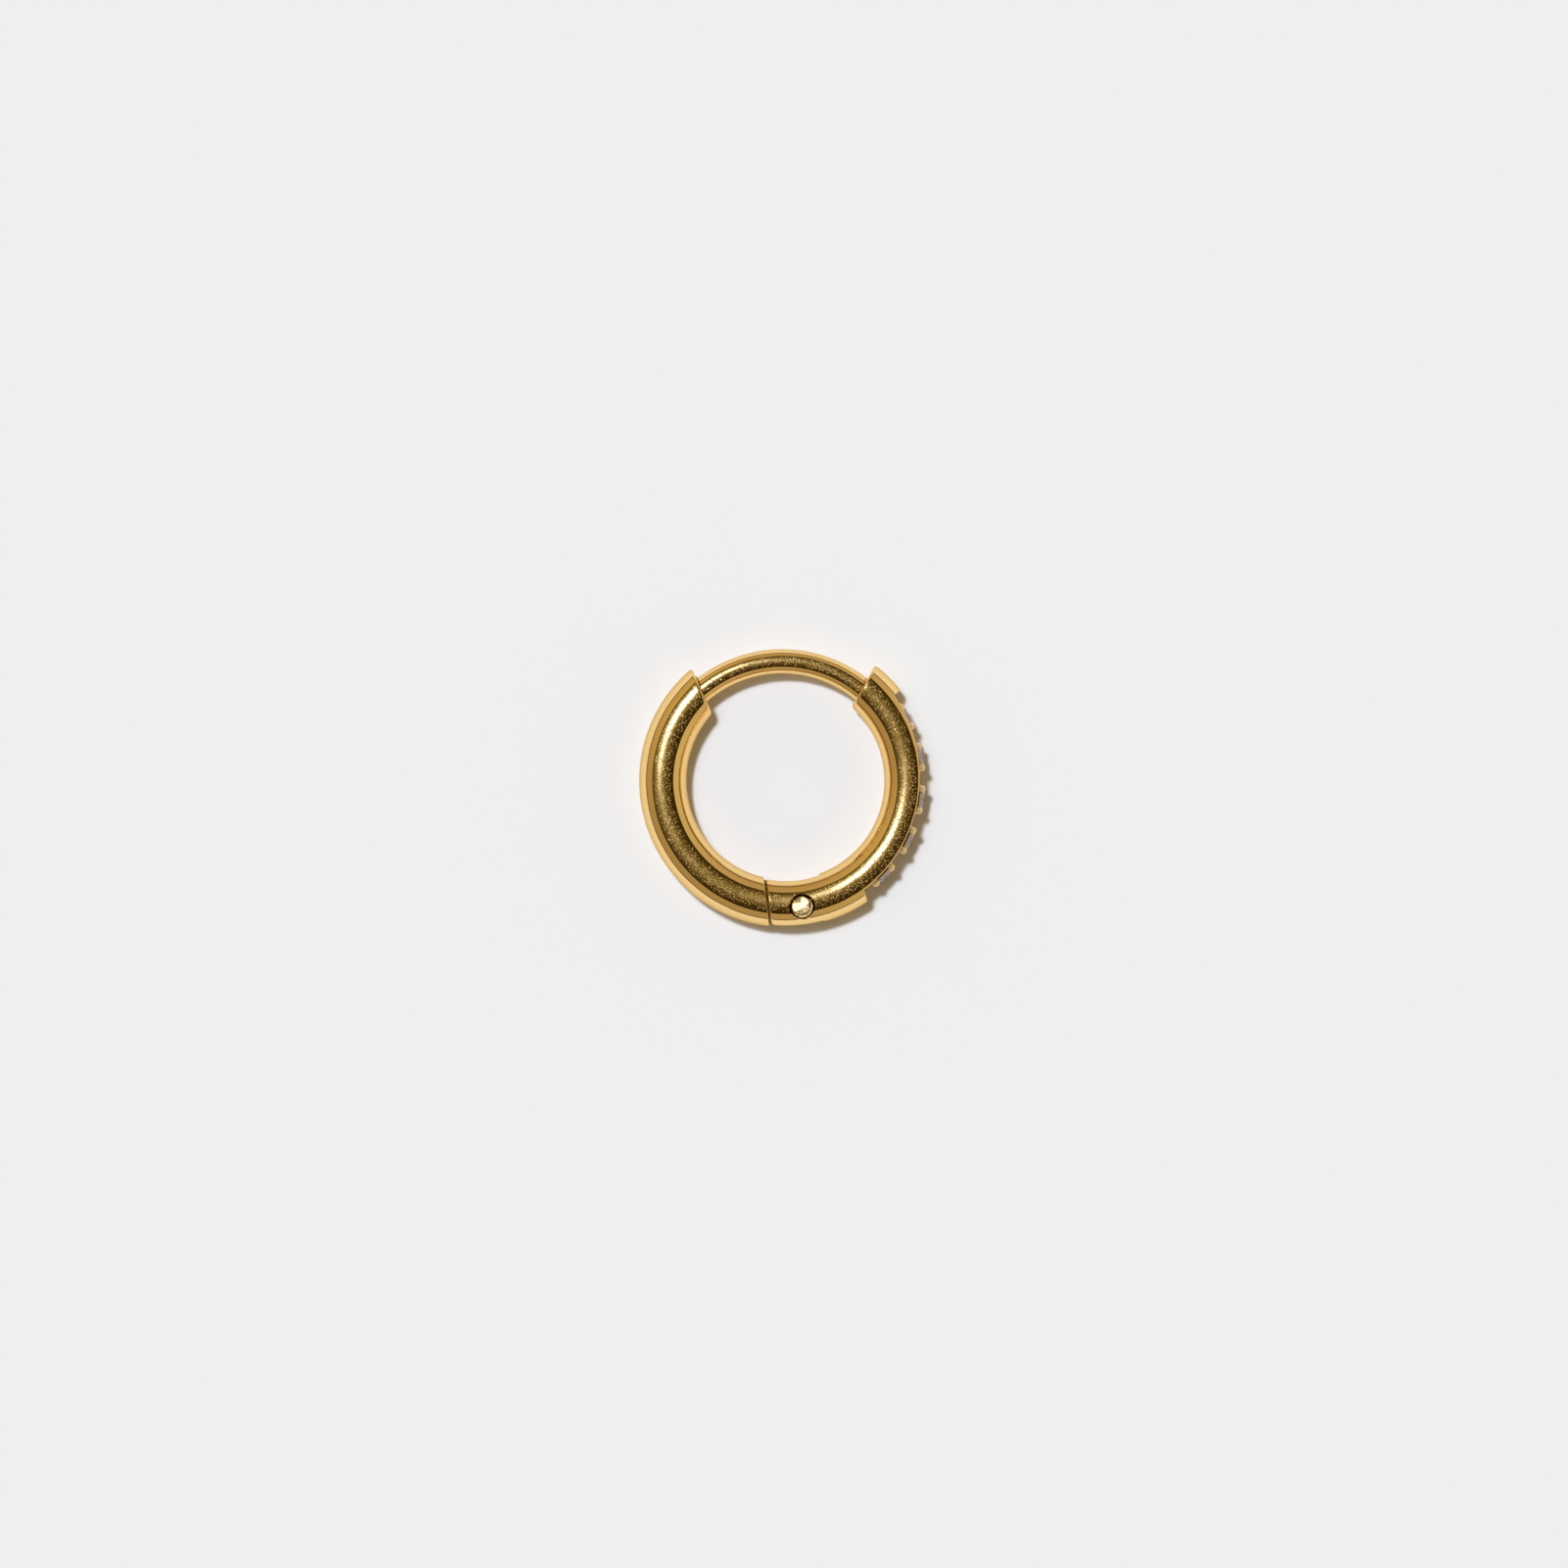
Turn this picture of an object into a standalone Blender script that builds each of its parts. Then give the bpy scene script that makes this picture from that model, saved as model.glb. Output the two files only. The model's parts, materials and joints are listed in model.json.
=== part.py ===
"""A small hinged hoop earring, lying on its side. Metres, +Z up.

The hoop's axis is +Z through the origin, and the surface it lies on is z = 0. The front half, on +X,
carries five stones, the ear post and the hinge pin. The back half, on -X, turns about the pin.
Angles run anticlockwise from +X, seen from above.
"""

import math

import bmesh
import bpy
from mathutils import Vector

# Tube
HOOP_DIAMETER = 0.01200
TUBE_DIAMETER = 0.00195
TUBE_SIDES = 24
ARC_STEP = math.radians(5.0)

# Ends of the two halves at the ear gap: where each face crosses the tube's centreline
FRONT_END_ANGLE = math.radians(50.6)
FRONT_END_LEAN = math.radians(9.6)
FRONT_END_RIM = 0.00012
BACK_END_ANGLE = math.radians(132.9)
BACK_END_RIM = 0.00004

# Ear post
POST_DIAMETER = 0.00100
POST_SIDES = 16
POST_BEND_RADIUS = 0.00515
POST_INSET_AT_FRONT = 0.000165
POST_OUTSET_AT_BACK = 0.00002
POST_SEATED = 0.00110
POST_CAUGHT = 0.00070
POST_TIP_ROUND = 0.00012
SOCKET_CLEARANCE = 0.00002
SOCKET_SPARE_DEPTH = 0.00004

# Catch pocket, wider towards the hoop's inside, where the post's tip swings as the hoop opens
CATCH_CLEARANCE = 0.00007
CATCH_SWING = 0.00024
CATCH_DEPTH = 0.00100

# Hinge
PIN_ANGLE = math.radians(-82.5)
PIN_OUTSET = 0.000168
PIN_DIAMETER = 0.00088
PIN_LENGTH = 0.00172
PIN_SIDES = 16
PIN_BEVEL = 0.00004
BORE_CLEARANCE = 0.00002
COUNTERSINK_WIDTH = 0.00105
COUNTERSINK_DEPTH = 0.00034
SEAM_FROM_PIN = 0.00142
SEAM_TURN = math.radians(-1.1)
SEAM_GAP = 0.000065
SEAM_RIM = 0.00004
SWING_CLEARANCE = 0.000015
TONGUE_THICKNESS = 0.00070
TONGUE_CLEARANCE = 0.00002
TONGUE_INSET = 0.00003
TONGUE_ROOT = 0.00050
SLOT_FLOOR_CLEARANCE = 0.00012

# Stone channel: a step milled along the outer side, its floor an arc set a little off the hoop's axis
CHANNEL_START = math.radians(-54.3)
CHANNEL_START_LEAN = math.radians(-18.0)
CHANNEL_END = math.radians(38.2)
CHANNEL_DEPTH = 0.00053
CHANNEL_SHIFT = 0.00038
CHANNEL_SHIFT_ANGLE = math.radians(155.0)

# Stones and claws
STONE_COUNT = 5
STONE_DIAMETER = 0.00125
FIRST_STONE_ANGLE = math.radians(-44.0)
STONE_TURN = math.radians(18.0)
GIRDLE_DROP = 0.000455
GIRDLE_THICKNESS = 0.00003
CROWN_HEIGHT = 0.00015
PAVILION_DEPTH = 0.00053
TABLE_SHARE = 0.56
STAR_SHARE = 0.78
LOWER_FACET_SHARE = 0.20
STONE_FACETS = 8
SEAT_CLEARANCE = 0.00002
CLAW_WIDTH = 0.00037
CLAW_RISE = 0.00021
CLAW_SIDES = 8
CLAW_ROOT = 0.00015
CLAW_TIP_ROUND = 0.00008

# Worked out from the sizes above
UP = Vector((0.0, 0.0, 1.0))
TUBE_RADIUS = TUBE_DIAMETER / 2
OUTER_RADIUS = HOOP_DIAMETER / 2
CENTRELINE_RADIUS = OUTER_RADIUS - TUBE_RADIUS
MIDDLE = Vector((0.0, 0.0, TUBE_RADIUS))
FAR = 3 * TUBE_DIAMETER
MERGE = 1e-8


def heading(angle):
    """The unit vector at this angle in the hoop's plane."""
    return Vector((math.cos(angle), math.sin(angle), 0.0))


def angle_of(vector):
    return math.atan2(vector.y, vector.x)


def on_ring(radius, angle):
    """A point of the hoop's middle plane, this far from the hoop's axis."""
    return MIDDLE + radius * heading(angle)


def arc_angles(start, end, step=ARC_STEP):
    """Angles from start to end, both included, in equal steps no longer than the one given."""
    count = max(1, math.ceil(abs(end - start) / step - 1e-6))
    return [start + (end - start) * i / count for i in range(count + 1)]


PIN_CENTRE = on_ring(CENTRELINE_RADIUS + PIN_OUTSET, PIN_ANGLE)
SEAM_NORMAL = heading(PIN_ANGLE - math.pi / 2 + SEAM_TURN)
SEAM_OUTWARD = UP.cross(SEAM_NORMAL)
FRONT_END_POINT = on_ring(CENTRELINE_RADIUS, FRONT_END_ANGLE)
FRONT_END_LINE = heading(FRONT_END_ANGLE + FRONT_END_LEAN)
BACK_END_POINT = on_ring(CENTRELINE_RADIUS, BACK_END_ANGLE)
BACK_END_LINE = (BACK_END_POINT - PIN_CENTRE).normalized()


def at_hinge(along, out):
    """A point of the middle plane, along the seam's normal and outward from the pin."""
    return PIN_CENTRE + along * SEAM_NORMAL + out * SEAM_OUTWARD


def arc_through(start, end, radius):
    """The centre of the arc of this radius from start to end that bulges away from the hoop's axis."""
    middle = (start + end) / 2
    outward = (middle - MIDDLE).normalized()
    chord = (end - start).normalized()
    across = (outward - outward.dot(chord) * chord).normalized()
    return middle - across * math.sqrt(radius**2 - (end - start).length_squared / 4)


def clear_scene():
    for old in list(bpy.data.objects):
        bpy.data.objects.remove(old)


def make_material(name, colour, roughness, metallic=0.0, transmission=0.0, ior=1.5):
    material = bpy.data.materials.new(name)
    material.use_nodes = True
    shader = material.node_tree.nodes["Principled BSDF"]
    shader.inputs["Base Color"].default_value = (*colour, 1.0)
    shader.inputs["Roughness"].default_value = roughness
    shader.inputs["Metallic"].default_value = metallic
    shader.inputs["Transmission Weight"].default_value = transmission
    shader.inputs["IOR"].default_value = ior
    material.diffuse_color = (*colour, 1.0)
    return material


def finish_object(name, mesh, material=None):
    """Turns a bmesh into a linked object with its faces pointing out."""
    bmesh.ops.recalc_face_normals(mesh, faces=mesh.faces)
    data = bpy.data.meshes.new(name)
    mesh.to_mesh(data)
    mesh.free()
    made = bpy.data.objects.new(name, data)
    bpy.context.scene.collection.objects.link(made)
    if material:
        data.materials.append(material)
    return made


def mesh_of_rings(rings):
    """A closed bmesh through rings of equally many points, capped at both ends."""
    mesh = bmesh.new()
    loops = [[mesh.verts.new(point) for point in ring] for ring in rings]
    for lower, upper in zip(loops, loops[1:]):
        for i, corner in enumerate(lower):
            j = (i + 1) % len(lower)
            mesh.faces.new((corner, lower[j], upper[j], upper[i]))
    mesh.faces.new(loops[0][::-1])
    mesh.faces.new(loops[-1])
    bmesh.ops.recalc_face_normals(mesh, faces=mesh.faces)
    return mesh


def ring_across(centre, axis, radius, sides, flats_touch=True):
    """A polygon square to the axis whose flats, or else corners, lie on the circle. One flat faces down."""
    side = axis.cross(UP) if abs(axis.z) < 0.5 else heading(0.0)
    top = side.cross(axis)
    reach = radius / math.cos(math.pi / sides) if flats_touch else radius
    turns = (2 * math.pi * (i + 0.5) / sides for i in range(sides))
    return [centre + reach * (math.cos(a) * side + math.sin(a) * top) for a in turns]


def mesh_of_turned(foot, axis, profile, sides, flats_touch=True):
    """A turned solid: the profile lists distance along the axis and radius."""
    return mesh_of_rings(
        [ring_across(foot + axis * along, axis, radius, sides, flats_touch) for along, radius in profile]
    )


def mesh_of_prism(outline, half_height):
    """An outline of the middle plane, thickened up and down."""
    heights = (-half_height, half_height)
    return mesh_of_rings([[point + UP * height for point in outline] for height in heights])


def mesh_of_tube(angles):
    """A stretch of the hoop's round tube, with a section square to it at each angle."""
    return mesh_of_rings(
        [
            ring_across(on_ring(CENTRELINE_RADIUS, a), heading(a + math.pi / 2), TUBE_RADIUS, TUBE_SIDES)
            for a in angles
        ]
    )


def reach_of_end(angle, line, rim=0.0):
    """How far round the hoop an end face and its rim reach, from where it crosses the centreline."""
    lean = line.angle(heading(angle))
    across = TUBE_RADIUS * math.tan(min(lean, math.pi - lean))
    return (across + 2 * rim) / (CENTRELINE_RADIUS - TUBE_RADIUS)


def trim(mesh, point, normal, rim):
    """Cuts away what lies beyond the plane, closes the cut and bevels its rim."""
    whole = mesh.verts[:] + mesh.edges[:] + mesh.faces[:]
    cut = bmesh.ops.bisect_plane(
        mesh, geom=whole, dist=MERGE, plane_co=point, plane_no=normal, clear_outer=True
    )
    edges = [item for item in cut["geom_cut"] if isinstance(item, bmesh.types.BMEdge)]
    face = bmesh.ops.edgeloop_fill(mesh, edges=edges)["faces"][0]
    bmesh.ops.recalc_face_normals(mesh, faces=mesh.faces)
    bmesh.ops.bevel(
        mesh, geom=list(face.edges), offset=rim, offset_type="OFFSET", segments=2, profile=0.5, affect="EDGES"
    )


def helper(name, mesh):
    """A cutter, or a shape joined to another by a Boolean: left out of renders."""
    made = finish_object(name, mesh)
    made.hide_render = True
    made.display_type = "WIRE"
    return made


def combine(body, operation, *helpers):
    """Adds one exact Boolean to the body that takes all the helpers together."""
    group = bpy.data.collections.new(helpers[0].name)
    bpy.context.scene.collection.children.link(group)
    for item in helpers:
        bpy.context.scene.collection.objects.unlink(item)
        group.objects.link(item)
    modifier = body.modifiers.new(helpers[0].name, "BOOLEAN")
    modifier.solver = "EXACT"
    modifier.operation = operation
    modifier.operand_type = "COLLECTION"
    modifier.collection = group


def shade(made, sharp=math.radians(35.0)):
    made.data.shade_smooth()
    made.data.set_sharp_from_angle(angle=sharp)


def put_origin_on(made, point):
    """Moves the object's origin to the point and leaves its shape where it is."""
    for vertex in made.data.vertices:
        vertex.co -= point
    made.location = point


def post_route():
    """The ear post's centre of bend, its mouth at each half, and its direction where it leaves the front."""
    front = FRONT_END_POINT - POST_INSET_AT_FRONT * FRONT_END_LINE
    back = BACK_END_POINT + POST_OUTSET_AT_BACK * BACK_END_LINE
    centre = arc_through(front, back, POST_BEND_RADIUS)
    leaving = heading(angle_of(front - centre) + math.pi / 2)
    return centre, front, back, leaving


def make_ear_post(material):
    """Round wire: straight inside the front half, then one bend to its rounded tip in the catch."""
    centre, front, back, leaving = post_route()
    radius = POST_DIAMETER / 2
    last = angle_of(back - centre) + POST_CAUGHT / POST_BEND_RADIUS
    tip_turn = POST_TIP_ROUND / POST_BEND_RADIUS
    rings = [ring_across(front - leaving * POST_SEATED, leaving, radius, POST_SIDES)]
    for a in arc_angles(angle_of(front - centre), last - tip_turn):
        point = centre + POST_BEND_RADIUS * heading(a)
        rings.append(ring_across(point, heading(a + math.pi / 2), radius, POST_SIDES))
    for share in (0.5, 1.0):
        a = last - tip_turn * (1 - share)
        point = centre + POST_BEND_RADIUS * heading(a)
        shrunk = radius - POST_TIP_ROUND * (1 - math.sqrt(1 - share**2))
        rings.append(ring_across(point, heading(a + math.pi / 2), shrunk, POST_SIDES))
    post = finish_object("ear_post", mesh_of_rings(rings), material)
    shade(post)
    return post


def socket_cutter():
    """The drilled blind hole that holds the ear post in the front half."""
    _, front, _, leaving = post_route()
    radius = POST_DIAMETER / 2 + SOCKET_CLEARANCE
    depth = POST_SEATED + SOCKET_SPARE_DEPTH
    return helper("socket", mesh_of_turned(front, leaving, [(-depth, radius), (FAR, radius)], POST_SIDES))


def catch_cutter():
    """The pocket in the back half: two drillings side by side, hulled into one slot."""
    centre, _, back, _ = post_route()
    middle = angle_of(back - centre) + POST_CAUGHT / POST_BEND_RADIUS / 2
    axis = heading(middle + math.pi / 2)
    radius = POST_DIAMETER / 2 + CATCH_CLEARANCE
    mouth = centre + POST_BEND_RADIUS * heading(middle) - axis * POST_CAUGHT / 2
    mesh = bmesh.new()
    for inward in (0.0, CATCH_SWING):
        foot = mouth - heading(middle) * inward
        for along in (-TUBE_RADIUS, CATCH_DEPTH):
            for point in ring_across(foot + axis * along, axis, radius, POST_SIDES):
                mesh.verts.new(point)
    bmesh.ops.convex_hull(mesh, input=mesh.verts)
    loose = [vertex for vertex in mesh.verts if not vertex.link_faces]
    bmesh.ops.delete(mesh, geom=loose, context="VERTS")
    return helper("catch", mesh)


def pin_bore_cutter(name):
    """The bore through the hinge, opening a little at both faces where the rivet is set."""
    radius = PIN_DIAMETER / 2 + BORE_CLEARANCE
    flare = (COUNTERSINK_WIDTH / 2 - radius) / COUNTERSINK_DEPTH
    straight = TUBE_RADIUS - COUNTERSINK_DEPTH
    wide = radius + flare * (FAR - straight)
    profile = [(-FAR, wide), (-straight, radius), (straight, radius), (FAR, wide)]
    return helper(name, mesh_of_turned(PIN_CENTRE, UP, profile, PIN_SIDES))


def make_hinge_pin(material):
    """The rivet, its two ends just below the tube's crown."""
    half = PIN_LENGTH / 2
    radius = PIN_DIAMETER / 2
    profile = [
        (-half, radius - PIN_BEVEL),
        (-half + PIN_BEVEL, radius),
        (half - PIN_BEVEL, radius),
        (half, radius - PIN_BEVEL),
    ]
    mesh = mesh_of_turned(Vector(), UP, profile, PIN_SIDES, flats_touch=False)
    pin = finish_object("hinge_pin", mesh, material)
    pin.location = PIN_CENTRE
    shade(pin)
    return pin


def tongue_reach():
    """How far the tongue's edges lie from the tube's centreline."""
    return math.sqrt(TUBE_RADIUS**2 - (TONGUE_THICKNESS / 2) ** 2) - TONGUE_INSET


def make_tongue():
    """The back half's hinge tongue: round about the pin, then the tube's own width up to its root."""
    outer = CENTRELINE_RADIUS + tongue_reach()
    inner = CENTRELINE_RADIUS - tongue_reach()
    eye = outer - (PIN_CENTRE - MIDDLE).length
    root = PIN_ANGLE - (SEAM_FROM_PIN + TONGUE_ROOT) / CENTRELINE_RADIUS
    shoulder = PIN_ANGLE - eye / CENTRELINE_RADIUS
    round_end = arc_angles(PIN_ANGLE, PIN_ANGLE + math.pi, 3 * ARC_STEP)
    outline = [on_ring(outer, a) for a in arc_angles(root, PIN_ANGLE)]
    outline += [PIN_CENTRE + eye * heading(a) for a in round_end[1:]]
    outline += [on_ring(inner, a) for a in arc_angles(shoulder, root)]
    return helper("tongue", mesh_of_prism(outline, TONGUE_THICKNESS / 2))


def slot_cutter():
    """The slot between the front half's two cheeks."""
    eye = CENTRELINE_RADIUS + tongue_reach() - (PIN_CENTRE - MIDDLE).length
    floor = -(eye + SLOT_FLOOR_CLEARANCE)
    corners = [(floor, -FAR), (FAR, -FAR), (FAR, FAR), (floor, FAR)]
    outline = [at_hinge(along, out) for along, out in corners]
    return helper("slot", mesh_of_prism(outline, TONGUE_THICKNESS / 2 + TONGUE_CLEARANCE))


def cheek_end_cutter():
    """Ends the cheeks at the seam, rounded outside so that the back half's shoulder swings past them."""
    swing = SEAM_FROM_PIN - SWING_CLEARANCE
    end = SEAM_FROM_PIN - SEAM_GAP
    first = math.acos(end / swing)
    last = math.radians(60.0)
    outline = [at_hinge(end, -FAR)]
    outline += [at_hinge(swing * math.cos(a), swing * math.sin(a)) for a in arc_angles(first, last)]
    outline += [at_hinge(FAR, swing * math.sin(last)), at_hinge(FAR, -FAR)]
    return helper("cheek_end", mesh_of_prism(outline, FAR))


def channel_cutter():
    """The step milled along the outer side, under the stones."""
    centre = MIDDLE + CHANNEL_SHIFT * heading(CHANNEL_SHIFT_ANGLE)
    middle = (CHANNEL_START + CHANNEL_END) / 2
    deepest = on_ring(OUTER_RADIUS - CHANNEL_DEPTH, middle)
    radius = (deepest - centre).length

    def floor_at(angle):
        ray = heading(angle)
        offset = MIDDLE - centre
        along = offset.dot(ray)
        return on_ring(-along + math.sqrt(along**2 - offset.length_squared + radius**2), angle)

    outline = [floor_at(a) for a in arc_angles(CHANNEL_START, CHANNEL_END)]
    outline.append(outline[-1] + TUBE_DIAMETER * heading(CHANNEL_END))
    outline.append(on_ring(OUTER_RADIUS + TUBE_DIAMETER * 2, middle))
    outline.append(outline[0] + TUBE_DIAMETER * heading(CHANNEL_START + CHANNEL_START_LEAN))
    return helper("channel", mesh_of_prism(outline, FAR))


def stone_angles():
    """The angle of each stone's axis about the hoop's."""
    return [FIRST_STONE_ANGLE + i * STONE_TURN for i in range(STONE_COUNT)]


def brilliant(growth=0.0):
    """A round brilliant's bmesh, its girdle at the origin and its table on +X, grown all round."""
    radius = STONE_DIAMETER / 2
    scale = (radius + growth) / radius
    girdle = GIRDLE_THICKNESS / 2
    half_turn = math.pi / STONE_FACETS
    star_x = STAR_SHARE * math.cos(half_turn)
    star_height = girdle + CROWN_HEIGHT * (1 - star_x) / (1 - TABLE_SHARE)
    lower_depth = girdle + PAVILION_DEPTH * (1 - LOWER_FACET_SHARE * math.cos(half_turn))
    rings = [
        (girdle + CROWN_HEIGHT, TABLE_SHARE, STONE_FACETS, 0.0),
        (star_height, STAR_SHARE, STONE_FACETS, half_turn),
        (girdle, 1.0, 2 * STONE_FACETS, 0.0),
        (-girdle, 1.0, 2 * STONE_FACETS, 0.0),
        (-lower_depth, LOWER_FACET_SHARE, STONE_FACETS, half_turn),
        (-girdle - PAVILION_DEPTH, 0.0, 1, 0.0),
    ]
    mesh = bmesh.new()
    for height, share, count, turn in rings:
        for i in range(count):
            a = turn + 2 * math.pi * i / count
            across = radius * share
            mesh.verts.new(Vector((height, across * math.cos(a), across * math.sin(a))) * scale)
    bmesh.ops.convex_hull(mesh, input=mesh.verts)
    return mesh


def set_on_hoop(made, angle):
    """Puts a stone, or its seat, on the hoop with its table facing away from the hoop's axis."""
    made.location = on_ring(OUTER_RADIUS - GIRDLE_DROP, angle)
    made.rotation_euler.z = angle


def make_stones(material):
    for number, angle in enumerate(stone_angles(), start=1):
        set_on_hoop(finish_object(f"stone_{number}", brilliant(), material), angle)


def stone_seats():
    seats = []
    for number, angle in enumerate(stone_angles(), start=1):
        seat = helper(f"seat_{number}", brilliant(SEAT_CLEARANCE))
        set_on_hoop(seat, angle)
        seats.append(seat)
    return seats


def make_claws():
    """Four claws about each stone, on the girdle's circle, rooted in the tube."""
    offset = STONE_DIAMETER / 2 * math.sqrt(0.5)
    half = CLAW_WIDTH / 2
    root = OUTER_RADIUS - CHANNEL_DEPTH - CLAW_ROOT
    tip = OUTER_RADIUS - GIRDLE_DROP + CLAW_RISE
    profile = [(root, half), (tip - CLAW_TIP_ROUND, half), (tip, half - CLAW_TIP_ROUND)]
    claws = []
    for number, angle in enumerate(stone_angles(), start=1):
        outward = heading(angle)
        along = heading(angle + math.pi / 2)
        for corner, (side, rise) in enumerate(((-1, -1), (-1, 1), (1, -1), (1, 1)), start=1):
            foot = MIDDLE + along * side * offset + UP * rise * offset
            mesh = mesh_of_turned(foot, outward, profile, CLAW_SIDES)
            claws.append(helper(f"claw_{number}_{corner}", mesh))
    return claws


def seam_angle(from_pin):
    """Where a plane square to the seam's normal, this far from the pin, crosses the centreline."""
    foot = at_hinge(from_pin, 0.0) - MIDDLE
    along = foot.dot(SEAM_OUTWARD)
    out = math.sqrt(CENTRELINE_RADIUS**2 - foot.length_squared + along**2)
    return angle_of(foot + (out - along) * SEAM_OUTWARD)


def make_front_hoop(material):
    """The front half: tube, cheeks, channel and claws in one solid."""
    seam = seam_angle(SEAM_FROM_PIN)
    start = seam - reach_of_end(seam, SEAM_OUTWARD)
    end = FRONT_END_ANGLE - reach_of_end(FRONT_END_ANGLE, FRONT_END_LINE, FRONT_END_RIM)
    past_end = FRONT_END_ANGLE + reach_of_end(FRONT_END_ANGLE, FRONT_END_LINE)
    mesh = mesh_of_tube(arc_angles(start, end) + [past_end])
    trim(mesh, FRONT_END_POINT, UP.cross(FRONT_END_LINE), FRONT_END_RIM)
    hoop = finish_object("front_hoop", mesh, material)
    combine(hoop, "DIFFERENCE", channel_cutter())
    combine(hoop, "UNION", *make_claws())
    combine(hoop, "DIFFERENCE", *stone_seats())
    combine(hoop, "DIFFERENCE", cheek_end_cutter())
    combine(hoop, "DIFFERENCE", slot_cutter())
    combine(hoop, "DIFFERENCE", pin_bore_cutter("front_bore"))
    combine(hoop, "DIFFERENCE", socket_cutter())
    shade(hoop)


def make_back_hoop(material):
    """The back half: tube, catch pocket and hinge tongue in one solid, turning about the pin."""
    seam = seam_angle(SEAM_FROM_PIN) + 2 * math.pi
    before_start = BACK_END_ANGLE - reach_of_end(BACK_END_ANGLE, BACK_END_LINE)
    start = BACK_END_ANGLE + reach_of_end(BACK_END_ANGLE, BACK_END_LINE, BACK_END_RIM)
    end = seam - reach_of_end(seam, SEAM_OUTWARD, SEAM_RIM)
    past_end = seam + reach_of_end(seam, SEAM_OUTWARD)
    mesh = mesh_of_tube([before_start, *arc_angles(start, end), past_end])
    trim(mesh, BACK_END_POINT, -UP.cross(BACK_END_LINE), BACK_END_RIM)
    trim(mesh, at_hinge(SEAM_FROM_PIN, 0.0), -SEAM_NORMAL, SEAM_RIM)
    hoop = finish_object("back_hoop", mesh, material)
    combine(hoop, "UNION", make_tongue())
    combine(hoop, "DIFFERENCE", pin_bore_cutter("back_bore"))
    combine(hoop, "DIFFERENCE", catch_cutter())
    put_origin_on(hoop, PIN_CENTRE)
    shade(hoop)


def main():
    clear_scene()
    gold = make_material("gold_plate", (0.78, 0.52, 0.20), 0.22, metallic=1.0)
    rivet = make_material("rivet_plate", (0.86, 0.70, 0.42), 0.18, metallic=1.0)
    stone = make_material("clear_stone", (0.97, 0.95, 0.93), 0.0, transmission=1.0, ior=2.15)
    make_front_hoop(gold)
    make_back_hoop(gold)
    make_ear_post(gold)
    make_hinge_pin(rivet)
    make_stones(stone)


main()
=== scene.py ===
"""The looks of a small hinged hoop earring: fine meshes, metal and stone finishes, studio and camera.

Metres, +Z up. The hoop lies on z = 0 with its axis through the origin, and angles run anticlockwise
from +X, seen from above. The front half is on +X and carries the stones, the ear post and the rivet.
"""

import json
import logging
import math
from collections.abc import Callable, Sequence
from dataclasses import dataclass, field
from enum import Enum
from typing import NamedTuple

import bmesh
import bpy
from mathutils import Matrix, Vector


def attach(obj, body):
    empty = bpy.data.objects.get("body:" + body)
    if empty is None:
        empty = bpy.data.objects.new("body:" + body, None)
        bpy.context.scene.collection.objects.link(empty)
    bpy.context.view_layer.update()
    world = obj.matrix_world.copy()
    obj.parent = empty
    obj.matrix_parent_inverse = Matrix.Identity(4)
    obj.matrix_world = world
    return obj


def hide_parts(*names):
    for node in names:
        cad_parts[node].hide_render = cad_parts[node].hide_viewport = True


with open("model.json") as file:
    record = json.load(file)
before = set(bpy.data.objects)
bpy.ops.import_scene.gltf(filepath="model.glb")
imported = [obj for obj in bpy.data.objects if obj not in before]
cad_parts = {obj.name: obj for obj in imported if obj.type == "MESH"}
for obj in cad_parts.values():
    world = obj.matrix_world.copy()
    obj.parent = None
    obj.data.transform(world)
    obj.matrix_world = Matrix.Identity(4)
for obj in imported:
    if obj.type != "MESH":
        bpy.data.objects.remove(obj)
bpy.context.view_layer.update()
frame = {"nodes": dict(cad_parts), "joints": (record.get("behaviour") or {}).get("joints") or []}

LOG = logging.getLogger("earring")
MM = 0.001
UP = Vector((0.0, 0.0, 1.0))
MERGE = 1e-7
SLACK = 1e-6
REFINEMENTS = 6
Section = list[tuple[float, float]]
Insets = tuple[float, float]


class Body(Enum):
    """The two halves that turn about the rivet."""

    FRONT = "front"
    BACK = "back"


class Slot(Enum):
    """The record's material slots, named for the pieces made here."""

    GOLD = "gold_plate"
    RIVET = "rivet_plate"


class Join(Enum):
    """What a Boolean does with its helpers."""

    CUT = "DIFFERENCE"
    ADD = "UNION"


def heading(angle: float) -> Vector:
    """Returns the unit vector at this angle in the hoop's plane."""
    return Vector((math.cos(angle), math.sin(angle), 0.0))


def spread(start: float, end: float, step: float) -> list[float]:
    """Divides a stretch into equal steps.

    Args:
        start: The first value.
        end: The last value.
        step: The longest step allowed.

    Returns:
        Values from start to end, both included.
    """
    count = max(1, math.ceil(abs(end - start) / step - SLACK))
    return [start + (end - start) * i / count for i in range(count + 1)]


def linear(hex_colour: str) -> tuple[float, float, float, float]:
    """Turns an sRGB colour such as "#FFE39E" into linear light.

    Args:
        hex_colour: The colour, as # and six hex digits.

    Returns:
        Linear red, green and blue, and an alpha of 1.
    """
    shares = [int(hex_colour[i : i + 2], 16) / 255 for i in (1, 3, 5)]
    lights = [c / 12.92 if c <= 0.04045 else ((c + 0.055) / 1.055) ** 2.4 for c in shares]
    return (*lights, 1.0)


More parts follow.
